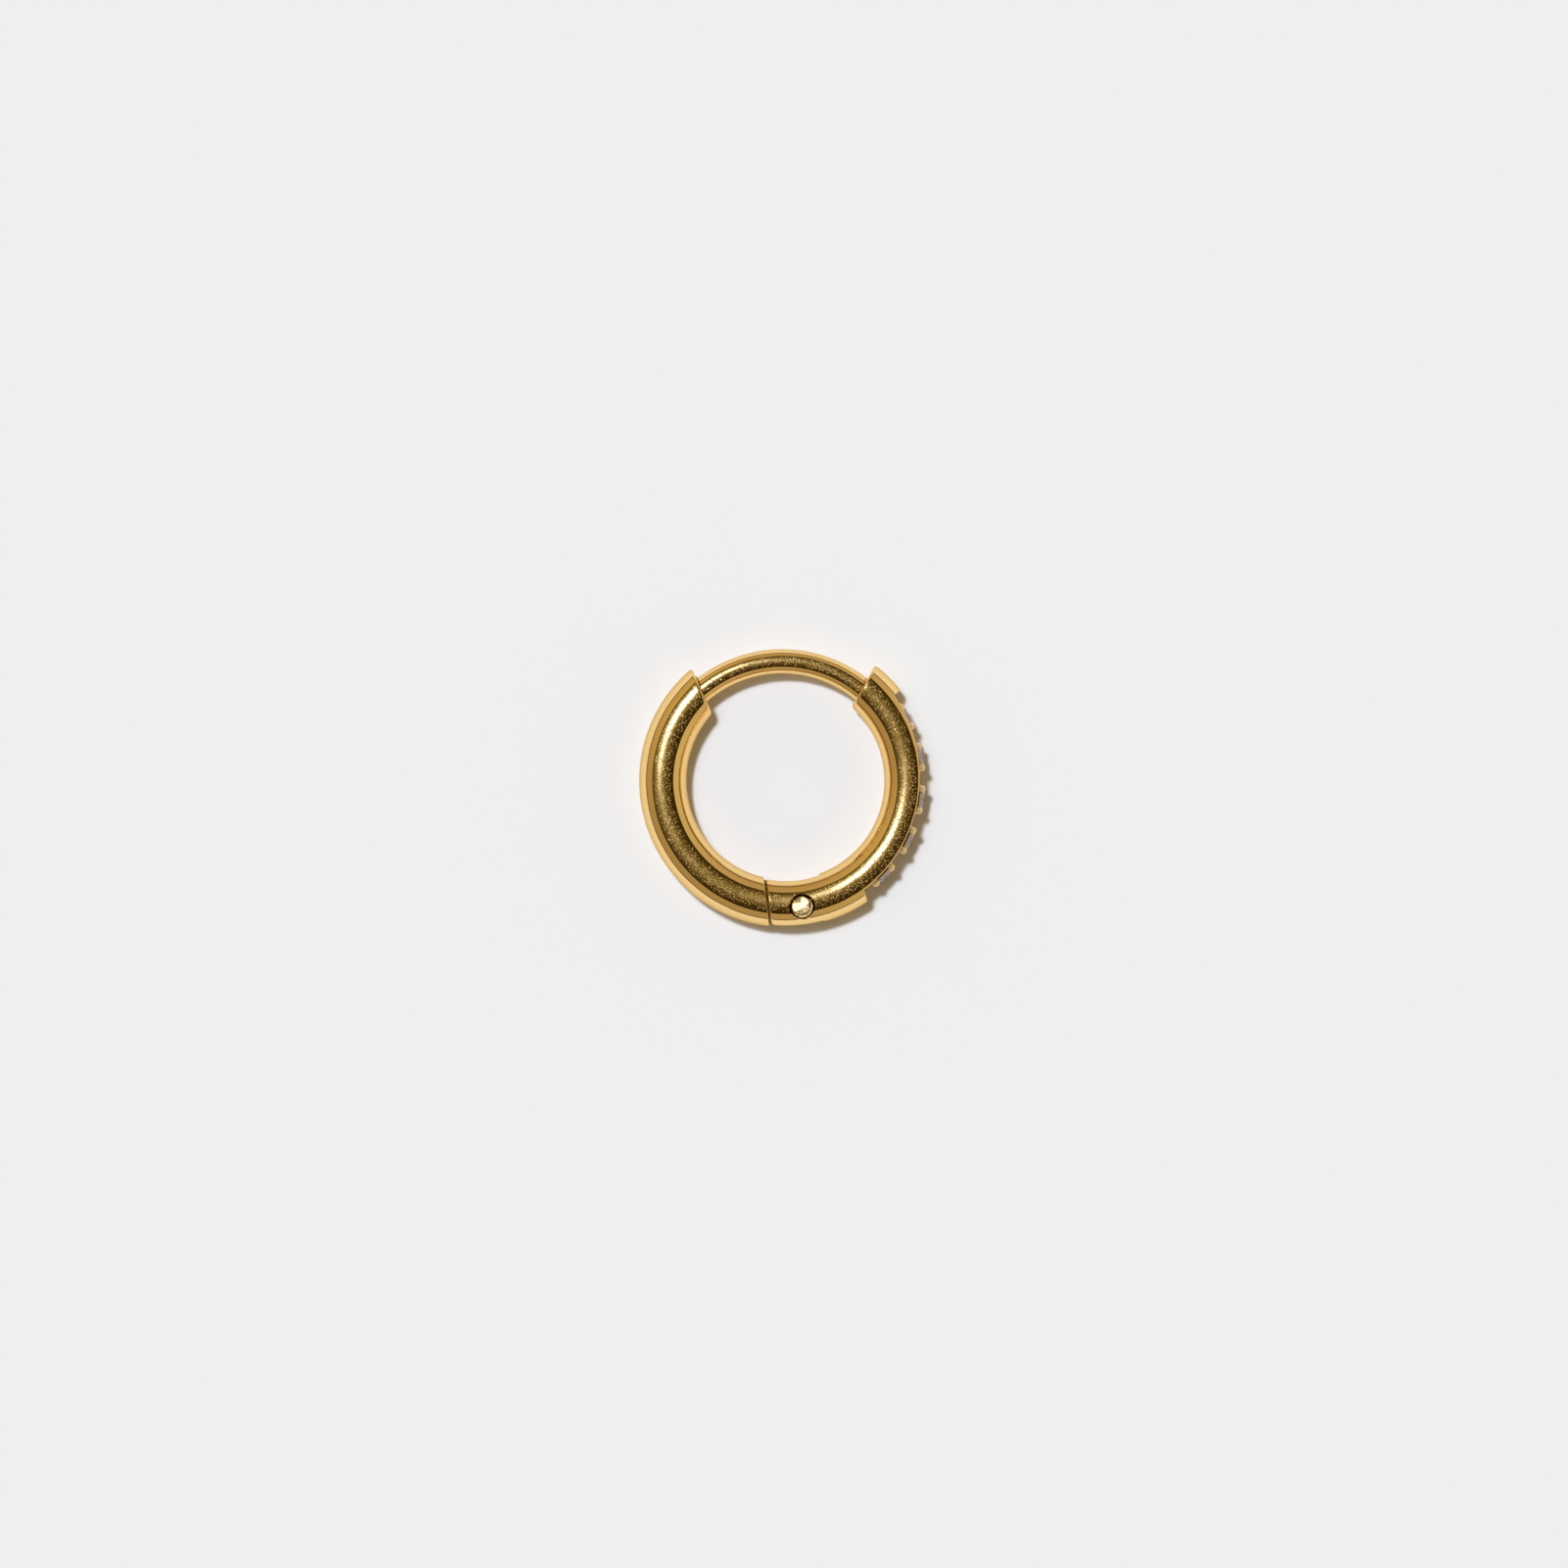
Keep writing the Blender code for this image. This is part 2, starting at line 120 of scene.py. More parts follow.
def add_node(
    tree: bpy.types.NodeTree, kind: str, inputs: dict | None = None, **settings: object
) -> bpy.types.Node:
    """Adds a node with its settings and links.

    Args:
        tree: The node tree that gets the node.
        kind: The node's type.
        inputs: Values, or output sockets to link, by the input's name or number.
        **settings: The node's own attributes.

    Returns:
        The new node.
    """
    node = tree.nodes.new(kind)
    for name, value in settings.items():
        setattr(node, name, value)
    for name, value in (inputs or {}).items():
        if isinstance(value, bpy.types.NodeSocket):
            tree.links.new(value, node.inputs[name])
        else:
            node.inputs[name].default_value = value
    return node


@dataclass(frozen=True)
class GoldPlate:
    """Gold-plated brass, barrel polished: a soft mirror, with a fine grain of dents where it lies flat.

    The grain is finer than a pixel, so it is drawn about twice as coarse as the real one. Seams,
    clearances and other recesses get painted shade: where ambient occlusion finds them, the colour
    turns dark brown.
    """

    name: str = "gold plate, barrel polished"
    colour: str = "#FFD995"
    edge_colour: str = "#D9C9A8"
    # Painted shade: recesses that ambient occlusion finds within this reach are coloured dark brown instead
    # of gold.
    recess_shade_colour: str = "#7A3A10"
    recess_shade_reach: float = 0.3 * MM
    recess_shade_samples: int = 8
    full_shade_below: float = 0.1
    no_shade_above: float = 0.5
    roughness: float = 0.07
    metallic: float = 1.0
    grain_size: float = 0.06 * MM
    grain_from: float = 0.56
    grain_to: float = 0.74
    grain_height: float = 0.0095 * MM
    grain_detail: float = 1.0
    rubbed_from: float = math.radians(24.0)
    rubbed_fully: float = math.radians(14.0)
    ripple_size: float = 0.9 * MM
    ripple_height: float = 0.010 * MM
    ripple_detail: float = 0.0
    patch_size: float = 0.5 * MM
    patch_roughness: float = 0.02
    patch_detail: float = 3.0

    def material(self) -> bpy.types.Material:
        """Makes the metal with its grain, slow polishing ripple, uneven sheen and painted shade in
        recesses.

        Returns:
            The finished material.
        """
        made = bpy.data.materials.new(self.name)
        made.use_nodes = True
        tree = made.node_tree
        shader = tree.nodes["Principled BSDF"]
        shader.inputs["Specular Tint"].default_value = linear(self.edge_colour)
        shader.inputs["Metallic"].default_value = self.metallic
        reading = add_node(tree, "ShaderNodeTexCoord").outputs
        place = reading["Object"]
        rise = add_node(tree, "ShaderNodeSeparateXYZ", {0: reading["Normal"]}).outputs["Z"]
        flatness = add_node(tree, "ShaderNodeMath", {0: rise}, operation="ABSOLUTE")
        rubbed = add_node(
            tree,
            "ShaderNodeMapRange",
            {
                "Value": flatness.outputs[0],
                "From Min": math.cos(self.rubbed_from),
                "From Max": math.cos(self.rubbed_fully),
            },
        )
        patterns = (
            (self.grain_size, self.grain_detail),
            (self.ripple_size, self.ripple_detail),
            (self.patch_size, self.patch_detail),
        )
        grain, ripple, patch = [
            add_node(tree, "ShaderNodeTexNoise", {"Vector": place, "Scale": 1 / size, "Detail": detail})
            for size, detail in patterns
        ]
        dents = add_node(
            tree,
            "ShaderNodeMapRange",
            {"Value": grain.outputs["Fac"], "From Min": self.grain_from, "From Max": self.grain_to},
            interpolation_type="SMOOTHSTEP",
        )
        wavy = add_node(
            tree, "ShaderNodeBump", {"Height": ripple.outputs["Fac"], "Distance": self.ripple_height}
        )
        grainy = add_node(
            tree,
            "ShaderNodeBump",
            {
                "Height": dents.outputs["Result"],
                "Strength": rubbed.outputs["Result"],
                "Distance": self.grain_height,
                "Normal": wavy.outputs["Normal"],
            },
        )
        sheen = add_node(
            tree,
            "ShaderNodeMapRange",
            {
                "Value": patch.outputs["Fac"],
                "To Min": self.roughness - self.patch_roughness,
                "To Max": self.roughness + self.patch_roughness,
            },
        )
        # Painted shade: ambient occlusion turns the colour towards dark brown in seams and recesses.
        opening = add_node(
            tree, "ShaderNodeAmbientOcclusion", {"Distance": self.recess_shade_reach}, samples=self.recess_shade_samples
        )
        unshaded_share = add_node(
            tree,
            "ShaderNodeMapRange",
            {
                "Value": opening.outputs["AO"],
                "From Min": self.full_shade_below,
                "From Max": self.no_shade_above,
            },
        )
        plate = add_node(tree, "ShaderNodeMix", {"Factor": unshaded_share.outputs["Result"]}, data_type="RGBA")
        plate.inputs["A"].default_value = linear(self.recess_shade_colour)
        plate.inputs["B"].default_value = linear(self.colour)
        tree.links.new(plate.outputs["Result"], shader.inputs["Base Color"])
        tree.links.new(grainy.outputs["Normal"], shader.inputs["Normal"])
        tree.links.new(sheen.outputs["Result"], shader.inputs["Roughness"])
        made.diffuse_color = linear(self.colour)
        return made


@dataclass(frozen=True)
class CubicZirconia:
    """Cut cubic zirconia, polished: nearly clear, with a stronger bend of light than glass."""

    name: str = "cubic zirconia, cut and polished"
    # Painted reflection: the warm tint stands for the gold seat seen through the stone, which is itself
    # colourless.
    colour: str = "#FFDCB8"
    clarity: float = 0.88
    ior: float = 2.15
    scratch_size: float = 0.02 * MM
    scratch_detail: float = 2.0
    scuffed_from: float = 0.5
    smooth: float = 0.0
    scuffed: float = 0.06

    def material(self) -> bpy.types.Material:
        """Makes the stone, its facets a little less than perfectly smooth in places.

        Returns:
            The finished material.
        """
        made = bpy.data.materials.new(self.name)
        made.use_nodes = True
        tree = made.node_tree
        shader = tree.nodes["Principled BSDF"]
        shader.inputs["Base Color"].default_value = linear(self.colour)
        shader.inputs["Transmission Weight"].default_value = self.clarity
        shader.inputs["IOR"].default_value = self.ior
        place = add_node(tree, "ShaderNodeTexCoord").outputs["Object"]
        scuffs = add_node(
            tree,
            "ShaderNodeTexNoise",
            {"Vector": place, "Scale": 1 / self.scratch_size, "Detail": self.scratch_detail},
        )
        gloss = add_node(
            tree,
            "ShaderNodeMapRange",
            {
                "Value": scuffs.outputs["Fac"],
                "From Min": self.scuffed_from,
                "To Min": self.smooth,
                "To Max": self.scuffed,
            },
        )
        tree.links.new(gloss.outputs["Result"], shader.inputs["Roughness"])
        made.diffuse_color = linear(self.colour)
        return made


@dataclass(frozen=True)
class StudioPaper:
    """Pale matt card: an even floor with no sheen."""

    name: str = "pale studio card"
    colour: str = "#F3F3F3"
    roughness: float = 1.0
    tooth_size: float = 0.6 * MM
    tooth_height: float = 0.004 * MM
    tooth_detail: float = 2.0

    def material(self) -> bpy.types.Material:
        """Makes the card with a faint tooth.

        Returns:
            The finished material.
        """
        made = bpy.data.materials.new(self.name)
        made.use_nodes = True
        tree = made.node_tree
        shader = tree.nodes["Principled BSDF"]
        shader.inputs["Base Color"].default_value = linear(self.colour)
        shader.inputs["Roughness"].default_value = self.roughness
        shader.inputs["Specular IOR Level"].default_value = 0.0
        place = add_node(tree, "ShaderNodeTexCoord").outputs["Object"]
        tooth = add_node(
            tree,
            "ShaderNodeTexNoise",
            {"Vector": place, "Scale": 1 / self.tooth_size, "Detail": self.tooth_detail},
        )
        bump = add_node(
            tree, "ShaderNodeBump", {"Height": tooth.outputs["Fac"], "Distance": self.tooth_height}
        )
        tree.links.new(bump.outputs["Normal"], shader.inputs["Normal"])
        return made


def mesh_of_rings(rings: Sequence[Sequence[Vector]]) -> bmesh.types.BMesh:
    """Makes a closed skin through rings, capped at both ends.

    Args:
        rings: Rings of equally many points, in order.

    Returns:
        A bmesh with its doubles merged and its faces pointing out.
    """
    mesh = bmesh.new()
    loops = [[mesh.verts.new(point) for point in ring] for ring in rings]
    for lower, upper in zip(loops, loops[1:]):
        for i, corner in enumerate(lower):
            j = (i + 1) % len(lower)
            mesh.faces.new((corner, lower[j], upper[j], upper[i]))
    mesh.faces.new(loops[0][::-1])
    mesh.faces.new(loops[-1])
    bmesh.ops.remove_doubles(mesh, verts=mesh.verts, dist=MERGE)
    bmesh.ops.recalc_face_normals(mesh, faces=mesh.faces)
    return mesh


def turned(foot: Vector, axis: Vector, profile: Section, sides: int) -> bmesh.types.BMesh:
    """Turns a profile about an axis.

    Args:
        foot: Where the axis starts.
        axis: The axis's unit vector.
        profile: Distance along the axis and radius, for each ring.
        sides: How many sides each ring has.

    Returns:
        The closed bmesh.
    """
    side = axis.orthogonal().normalized()
    top = axis.cross(side)
    turns = [2 * math.pi * i / sides for i in range(sides)]
    return mesh_of_rings(
        [
            [foot + axis * along + radius * (math.cos(a) * side + math.sin(a) * top) for a in turns]
            for along, radius in profile
        ]
    )


def prism(outline: Sequence[Vector], half_height: float) -> bmesh.types.BMesh:
    """Thickens an outline up and down.

    Args:
        outline: Points of the middle plane, in order.
        half_height: How far the prism reaches above and below them.

    Returns:
        The closed bmesh.
    """
    heights = (-half_height, half_height)
    return mesh_of_rings([[point + UP * height for point in outline] for height in heights])


def piece(
    name: str, mesh: bmesh.types.BMesh, material: bpy.types.Material | None = None
) -> bpy.types.Object:
    """Turns a bmesh into a linked object and frees it.

    Args:
        name: The object's name.
        mesh: Its shape, in the hoop's frame.
        material: Its material, if it is a finished piece.

    Returns:
        The new object, at the origin.
    """
    data = bpy.data.meshes.new(name)
    mesh.to_mesh(data)
    mesh.free()
    if material:
        data.materials.append(material)
    made = bpy.data.objects.new(name, data)
    bpy.context.scene.collection.objects.link(made)
    return made


def made_plain(made: bpy.types.Object) -> None:
    """Replaces an object's mesh with the result of its modifiers, and removes them."""
    evaluated = made.evaluated_get(bpy.context.evaluated_depsgraph_get())
    plain = bpy.data.meshes.new_from_object(evaluated)
    made.modifiers.clear()
    made.data = plain


def combine(made: bpy.types.Object, join: Join, helpers: Sequence[bmesh.types.BMesh]) -> None:
    """Cuts helpers from a piece, or adds them to it, one after the other.

    Args:
        made: The piece that is changed.
        join: Whether the helpers are cut away or added.
        helpers: Closed shapes. Each is used up.
    """
    for number, helper in enumerate(helpers):
        tool = piece(f"helper_{number}", helper)
        modifier = made.modifiers.new("combine", "BOOLEAN")
        modifier.operation = join.value
        modifier.solver = "EXACT"
        modifier.object = tool
        made_plain(made)
        bpy.data.objects.remove(tool)


def smooth(made: bpy.types.Object, sharp: float = math.radians(28.0)) -> None:
    """Shades a piece smooth, apart from edges sharper than the angle."""
    made.data.shade_smooth()
    made.data.set_sharp_from_angle(angle=sharp)


def dress(made: bpy.types.Object, body: Body, slot: Slot, *nodes: str) -> None:
    """Attaches a finished piece to the body that carries it, and hides the CAD nodes that it stands for.

    Args:
        made: The finished piece.
        body: The half that carries it.
        slot: Its material slot in the record. Not used.
        *nodes: The CAD nodes that it replaces.
    """
    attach(made, body.value)
    if nodes:
        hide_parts(*nodes)
    made.data.calc_loop_triangles()
    LOG.info("%s: %d triangles on %s", made.name, len(made.data.loop_triangles), body.value)


@dataclass(frozen=True)
class Hoop:
    """The round tube's ring, on which every piece is laid out."""

    outside: float = 12.0 * MM
    tube: float = 1.95 * MM
    ring_step: float = math.radians(1.0)
    sides: int = 112

    @property
    def tube_radius(self) -> float:
        """Half the tube's thickness."""
        return self.tube / 2

    @property
    def centreline(self) -> float:
        """The radius of the tube's centreline."""
        return (self.outside - self.tube) / 2

    def at(self, radius: float, angle: float, height: float = 0.0) -> Vector:
        """Returns the point at this radius and angle, this far above the hoop's middle plane."""
        return radius * heading(angle) + UP * (self.tube_radius + height)


@dataclass(frozen=True)
class EndFace:
    """An upright face across the tube, seen as a line from above."""

    point: Vector
    normal: Vector
    near: float

    def relief(self, place: Vector) -> float:
        """Returns how far the face falls back from its plane at a place. A plain face doesn't."""
        return 0.0

    def angle_at(self, radius: float, inset: float = 0.0) -> float:
        """Finds where the face crosses a circle about the hoop's axis.

        Args:
            radius: The circle's radius.
            inset: How far inside the piece the crossing lies from the face.

        Returns:
            The angle of the crossing, close to the face's own.
        """
        middle = math.atan2(self.normal.y, self.normal.x) - self.near
        angle = self.near
        for _ in range(REFINEMENTS):
            depth = self.point.dot(self.normal) - inset - self.relief(radius * heading(angle))
            turn = math.acos(max(-1.0, min(1.0, depth / radius)))
            crossings = [math.remainder(middle + side * turn, 2 * math.pi) for side in (-1, 1)]
            angle = self.near + min(crossings, key=abs)
        return angle


@dataclass(frozen=True)
class CheekEnd(EndFace):
    """The front half's hinge end: flat, then rounded about the rivet so that the back half swings past."""

    pin: Vector
    outward: Vector
    swing: float

    def relief(self, place: Vector) -> float:
        """Returns how far the rounded part falls back from the flat one."""
        out = (place - self.pin).dot(self.outward)
        flat = (self.point - self.pin).dot(self.normal)
        if out <= math.sqrt(self.swing**2 - flat**2):
            return 0.0
        return flat - math.sqrt(max(self.swing**2 - out**2, 0.0))


@dataclass(frozen=True)
class HingePlan:
    """The rivet, the tongue round it and the seam between the two halves."""

    hoop: Hoop
    pin: Vector
    pin_diameter: float = 0.88 * MM
    pin_length: float = 1.72 * MM
    bore_clearance: float = 0.02 * MM
    countersink_width: float = 1.07 * MM
    countersink_depth: float = 0.36 * MM
    seam_from_pin: float = 1.42 * MM
    seam_turn: float = math.radians(-1.1)
    seam_gap: float = 0.10 * MM
    swing_clearance: float = 0.015 * MM
    tongue_thickness: float = 0.70 * MM
    tongue_clearance: float = 0.02 * MM
    tongue_inset: float = 0.03 * MM
    tongue_root: float = 0.50 * MM
    slot_floor_clearance: float = 0.12 * MM
    fine_step: float = math.radians(3.0)
    bore_sides: int = 96

    @property
    def pin_angle(self) -> float:
        """The rivet's angle about the hoop's axis."""
        return math.atan2(self.pin.y, self.pin.x)

    @property
    def along(self) -> Vector:
        """The direction from the rivet to the seam."""
        return heading(self.pin_angle - math.pi / 2 + self.seam_turn)

    @property
    def outward(self) -> Vector:
        """The direction along the seam, away from the hoop's axis."""
        return UP.cross(self.along)

    @property
    def reach(self) -> float:
        """How far the tongue's edges lie from the tube's centreline."""
        half = self.tongue_thickness / 2
        return math.sqrt(self.hoop.tube_radius**2 - half**2) - self.tongue_inset

    @property
    def eye(self) -> float:
        """The radius of the tongue's round end."""
        return self.hoop.centreline + self.reach - math.hypot(self.pin.x, self.pin.y)

    def at(self, along: float, out: float) -> Vector:
        """Returns a point of the middle plane, measured from the rivet."""
        return self.pin + along * self.along + out * self.outward

    def back_face(self) -> EndFace:
        """Returns the back half's face at the seam."""
        near = self.pin_angle - self.seam_from_pin / self.hoop.centreline
        return EndFace(self.at(self.seam_from_pin, 0.0), -self.along, near + 2 * math.pi)

    def front_face(self) -> CheekEnd:
        """Returns the front half's face at the seam."""
        flat = self.seam_from_pin - self.seam_gap
        near = self.pin_angle - flat / self.hoop.centreline
        swing = self.seam_from_pin - self.swing_clearance
        return CheekEnd(self.at(flat, 0.0), self.along, near, self.pin, self.outward, swing)

    def bore(self) -> bmesh.types.BMesh:
        """Makes the cutter for the rivet's bore, flaring at both faces."""
        far = self.hoop.tube
        radius = self.pin_diameter / 2 + self.bore_clearance
        straight = self.hoop.tube_radius - self.countersink_depth
        flare = (self.countersink_width / 2 - radius) / self.countersink_depth
        wide = radius + flare * (far - straight)
        profile = [(-far, wide), (-straight, radius), (straight, radius), (far, wide)]
        return turned(self.pin, UP, profile, self.bore_sides)

    def slot(self) -> bmesh.types.BMesh:
        """Makes the cutter for the slot between the front half's cheeks."""
        far = self.hoop.tube
        floor = -(self.eye + self.slot_floor_clearance)
        corners = [(floor, -far), (far, -far), (far, far), (floor, far)]
        return prism([self.at(*c) for c in corners], self.tongue_thickness / 2 + self.tongue_clearance)

    def tongue(self) -> bmesh.types.BMesh:
        """Makes the back half's tongue, round about the rivet."""
        outer = self.hoop.centreline + self.reach
        inner = self.hoop.centreline - self.reach
        root = self.pin_angle - (self.seam_from_pin + self.tongue_root) / self.hoop.centreline
        shoulder = self.pin_angle - self.eye / self.hoop.centreline
        round_end = spread(self.pin_angle, self.pin_angle + math.pi, self.fine_step)
        outline = [self.hoop.at(outer, a) for a in spread(root, self.pin_angle, self.hoop.ring_step)]
        outline += [self.pin + self.eye * heading(a) for a in round_end[1:]]
        outline += [self.hoop.at(inner, a) for a in spread(shoulder, root, self.hoop.ring_step)]
        return prism(outline, self.tongue_thickness / 2)


@dataclass(frozen=True)
class PostPlan:
    """The ear post's wire: straight in its socket, then one bend to its tip in the catch."""

    hoop: Hoop
    front_point: Vector
    front_line: Vector
    back_point: Vector
    back_line: Vector
    diameter: float = 1.00 * MM
    bend_radius: float = 5.15 * MM
    inset_at_front: float = 0.165 * MM
    outset_at_back: float = 0.02 * MM
    seated: float = 1.10 * MM
    caught: float = 0.70 * MM
    tip_round: float = 0.12 * MM
    socket_clearance: float = 0.02 * MM
    socket_spare_depth: float = 0.04 * MM
    catch_clearance: float = 0.07 * MM
    catch_swing: float = 0.24 * MM
    catch_depth: float = 1.00 * MM
    fine_step: float = math.radians(1.0)
    seated_step: float = 0.1
    tip_step: float = math.radians(15.0)
    sides: int = 64

    @property
    def front(self) -> Vector:
        """Where the wire leaves the front half."""
        return self.front_point - self.inset_at_front * self.front_line

    @property
    def back(self) -> Vector:
        """Where the wire enters the back half."""
        return self.back_point + self.outset_at_back * self.back_line

    @property
    def centre(self) -> Vector:
        """The centre of the wire's bend."""
        middle = (self.front + self.back) / 2
        chord = (self.back - self.front).normalized()
        outward = middle - UP * self.hoop.tube_radius
        across = (outward - outward.dot(chord) * chord).normalized()
        half = (self.back - self.front).length / 2
        return middle - across * math.sqrt(self.bend_radius**2 - half**2)

    def bend_angle(self, point: Vector) -> float:
        """Returns a point's angle about the centre of the bend."""
        return math.atan2(point.y - self.centre.y, point.x - self.centre.x)

    def on_bend(self, angle: float) -> Vector:
        """Returns the point of the wire's axis at an angle about the centre of the bend."""
        return self.centre + self.bend_radius * heading(angle)

    def leaving(self) -> Vector:
        """Returns the wire's direction where it leaves the front half."""
        return heading(self.bend_angle(self.front) + math.pi / 2)

    def socket(self) -> bmesh.types.BMesh:
        """Makes the cutter for the socket in the front half."""
        radius = self.diameter / 2 + self.socket_clearance
        depth = self.seated + self.socket_spare_depth
        return turned(self.front, self.leaving(), [(-depth, radius), (self.hoop.tube, radius)], self.sides)

    def catch(self) -> bmesh.types.BMesh:
        """Makes the cutter for the catch: two drillings side by side, hulled into one slot."""
        middle = self.bend_angle(self.back) + self.caught / self.bend_radius / 2
        axis = heading(middle + math.pi / 2)
        radius = self.diameter / 2 + self.catch_clearance
        mouth = self.on_bend(middle) - axis * self.caught / 2
        mesh = bmesh.new()
        for inward in (0.0, self.catch_swing):
            foot = mouth - heading(middle) * inward
            for along in (-self.hoop.tube_radius, self.catch_depth):
                for turn in range(self.sides):
                    a = 2 * math.pi * turn / self.sides
                    around = math.cos(a) * UP + math.sin(a) * axis.cross(UP)
                    mesh.verts.new(foot + axis * along + radius * around)
        bmesh.ops.convex_hull(mesh, input=mesh.verts)
        loose = [vertex for vertex in mesh.verts if not vertex.link_faces]
        bmesh.ops.delete(mesh, geom=loose, context="VERTS")
        bmesh.ops.recalc_face_normals(mesh, faces=mesh.faces)
        return mesh

    def route(self) -> list[tuple[Vector, float]]:
        """Works out the wire's axis and its radius along it.

        Returns:
            Points from the socket to the tip, each with the wire's radius there.
        """
        radius = self.diameter / 2
        start = self.front - self.leaving() * self.seated
        shares = spread(0.0, 1.0, self.seated_step)[:-1]
        straight = [self.front.lerp(start, 1 - share) for share in shares]
        last = self.bend_angle(self.back) + self.caught / self.bend_radius
        tip = self.tip_round / self.bend_radius
        bent = spread(self.bend_angle(self.front), last - tip, self.fine_step)
        found = [(point, radius) for point in straight]
        found += [(self.on_bend(a), radius) for a in bent]
        for turn in spread(0.0, math.pi / 2, self.tip_step)[1:]:
            shrunk = radius - self.tip_round * (1 - math.cos(turn))
            found.append((self.on_bend(last - tip * (1 - math.sin(turn))), shrunk))
        return found


@dataclass
class Tube:
    """A stretch of the hoop's tube between end faces, with rounded rims."""

    hoop: Hoop
    rim_steps: int = 6
    face_ring: float = 1.3

    def circle(self, corner: float, outer_count: int) -> Section:
        """Makes a round section whose points are closer together outside the corners.

        Args:
            corner: The angle of the two points where the outer part starts and ends.
            outer_count: How many points lie between those two.

        Returns:
            Distance outward and height of each point, from the upper corner round the inside.
        """
        radius = self.hoop.tube_radius
        inner = self.hoop.sides - outer_count - 2
        angles = [corner + (2 * math.pi - 2 * corner) * i / (inner + 1) for i in range(inner + 2)]
        angles += [-corner + 2 * corner * (i + 1) / (outer_count + 1) for i in range(outer_count)]
        return [(radius * math.cos(a), radius * math.sin(a)) for a in angles]

    def ring(
        self, section: Section, start: EndFace, end: EndFace, share: float, insets: Insets = (0.0, 0.0)
    ) -> list[Vector]:
        """Lays a section across the tube between two faces.

        Args:
            section: Distance outward and height of each point.
            start: The face at the start of the stretch.
            end: The face at its end.
            share: How far along the stretch the ring lies.
            insets: How far inside each of the two faces the stretch begins and ends.

        Returns:
            The ring's points.
        """
        points = []
        for out, height in section:
            radius = self.hoop.centreline + out
            first = start.angle_at(radius, insets[0])
            last = end.angle_at(radius, insets[1])
            points.append(self.hoop.at(radius, first + (last - first) * share, height))
        return points

    def shrunk(self, section: Section, amount: float) -> Section:
        """Returns the section drawn in evenly towards its middle."""
        scale = 1 - amount / self.hoop.tube_radius
        return [(out * scale, height * scale) for out, height in section]

    def rim(self, section: Section, face: EndFace, width: float, opening: bool) -> list[list[Vector]]:
        """Makes the rings of a rounded rim at an end face, and one more inside it on the face.

        Args:
            section: The section beside the rim.
            face: The end face.
            width: The rim's radius.
            opening: Whether the rings run from the face inwards.

        Returns:
            The rings, in order along the hoop.
        """
        rings = []
        for step in range(1, self.rim_steps + 1):
            turn = math.pi / 2 * step / self.rim_steps
            drawn = self.shrunk(section, width * (1 - math.cos(turn)))
            rings.append(self.ring(drawn, face, face, 0.0, (width * (1 - math.sin(turn)),) * 2))
        rings.append(self.ring(self.shrunk(section, width * self.face_ring), face, face, 0.0))
        return rings[::-1] if opening else rings

    def stretch(
        self, sections: Callable[[float], Section], start: EndFace, end: EndFace, insets: Insets
    ) -> list[list[Vector]]:
        """Makes the rings between two faces, both ends included.

        Args:
            sections: Gives the section at each share of the way.
            start: The face at the start of the stretch.
            end: The face at its end.
            insets: How far inside each of the two faces the stretch begins and ends.

        Returns:
            The rings, in order along the hoop.
        """
        shares = spread(0.0, 1.0, self.hoop.ring_step / abs(end.near - start.near))
        return [self.ring(sections(share), start, end, share, insets) for share in shares]


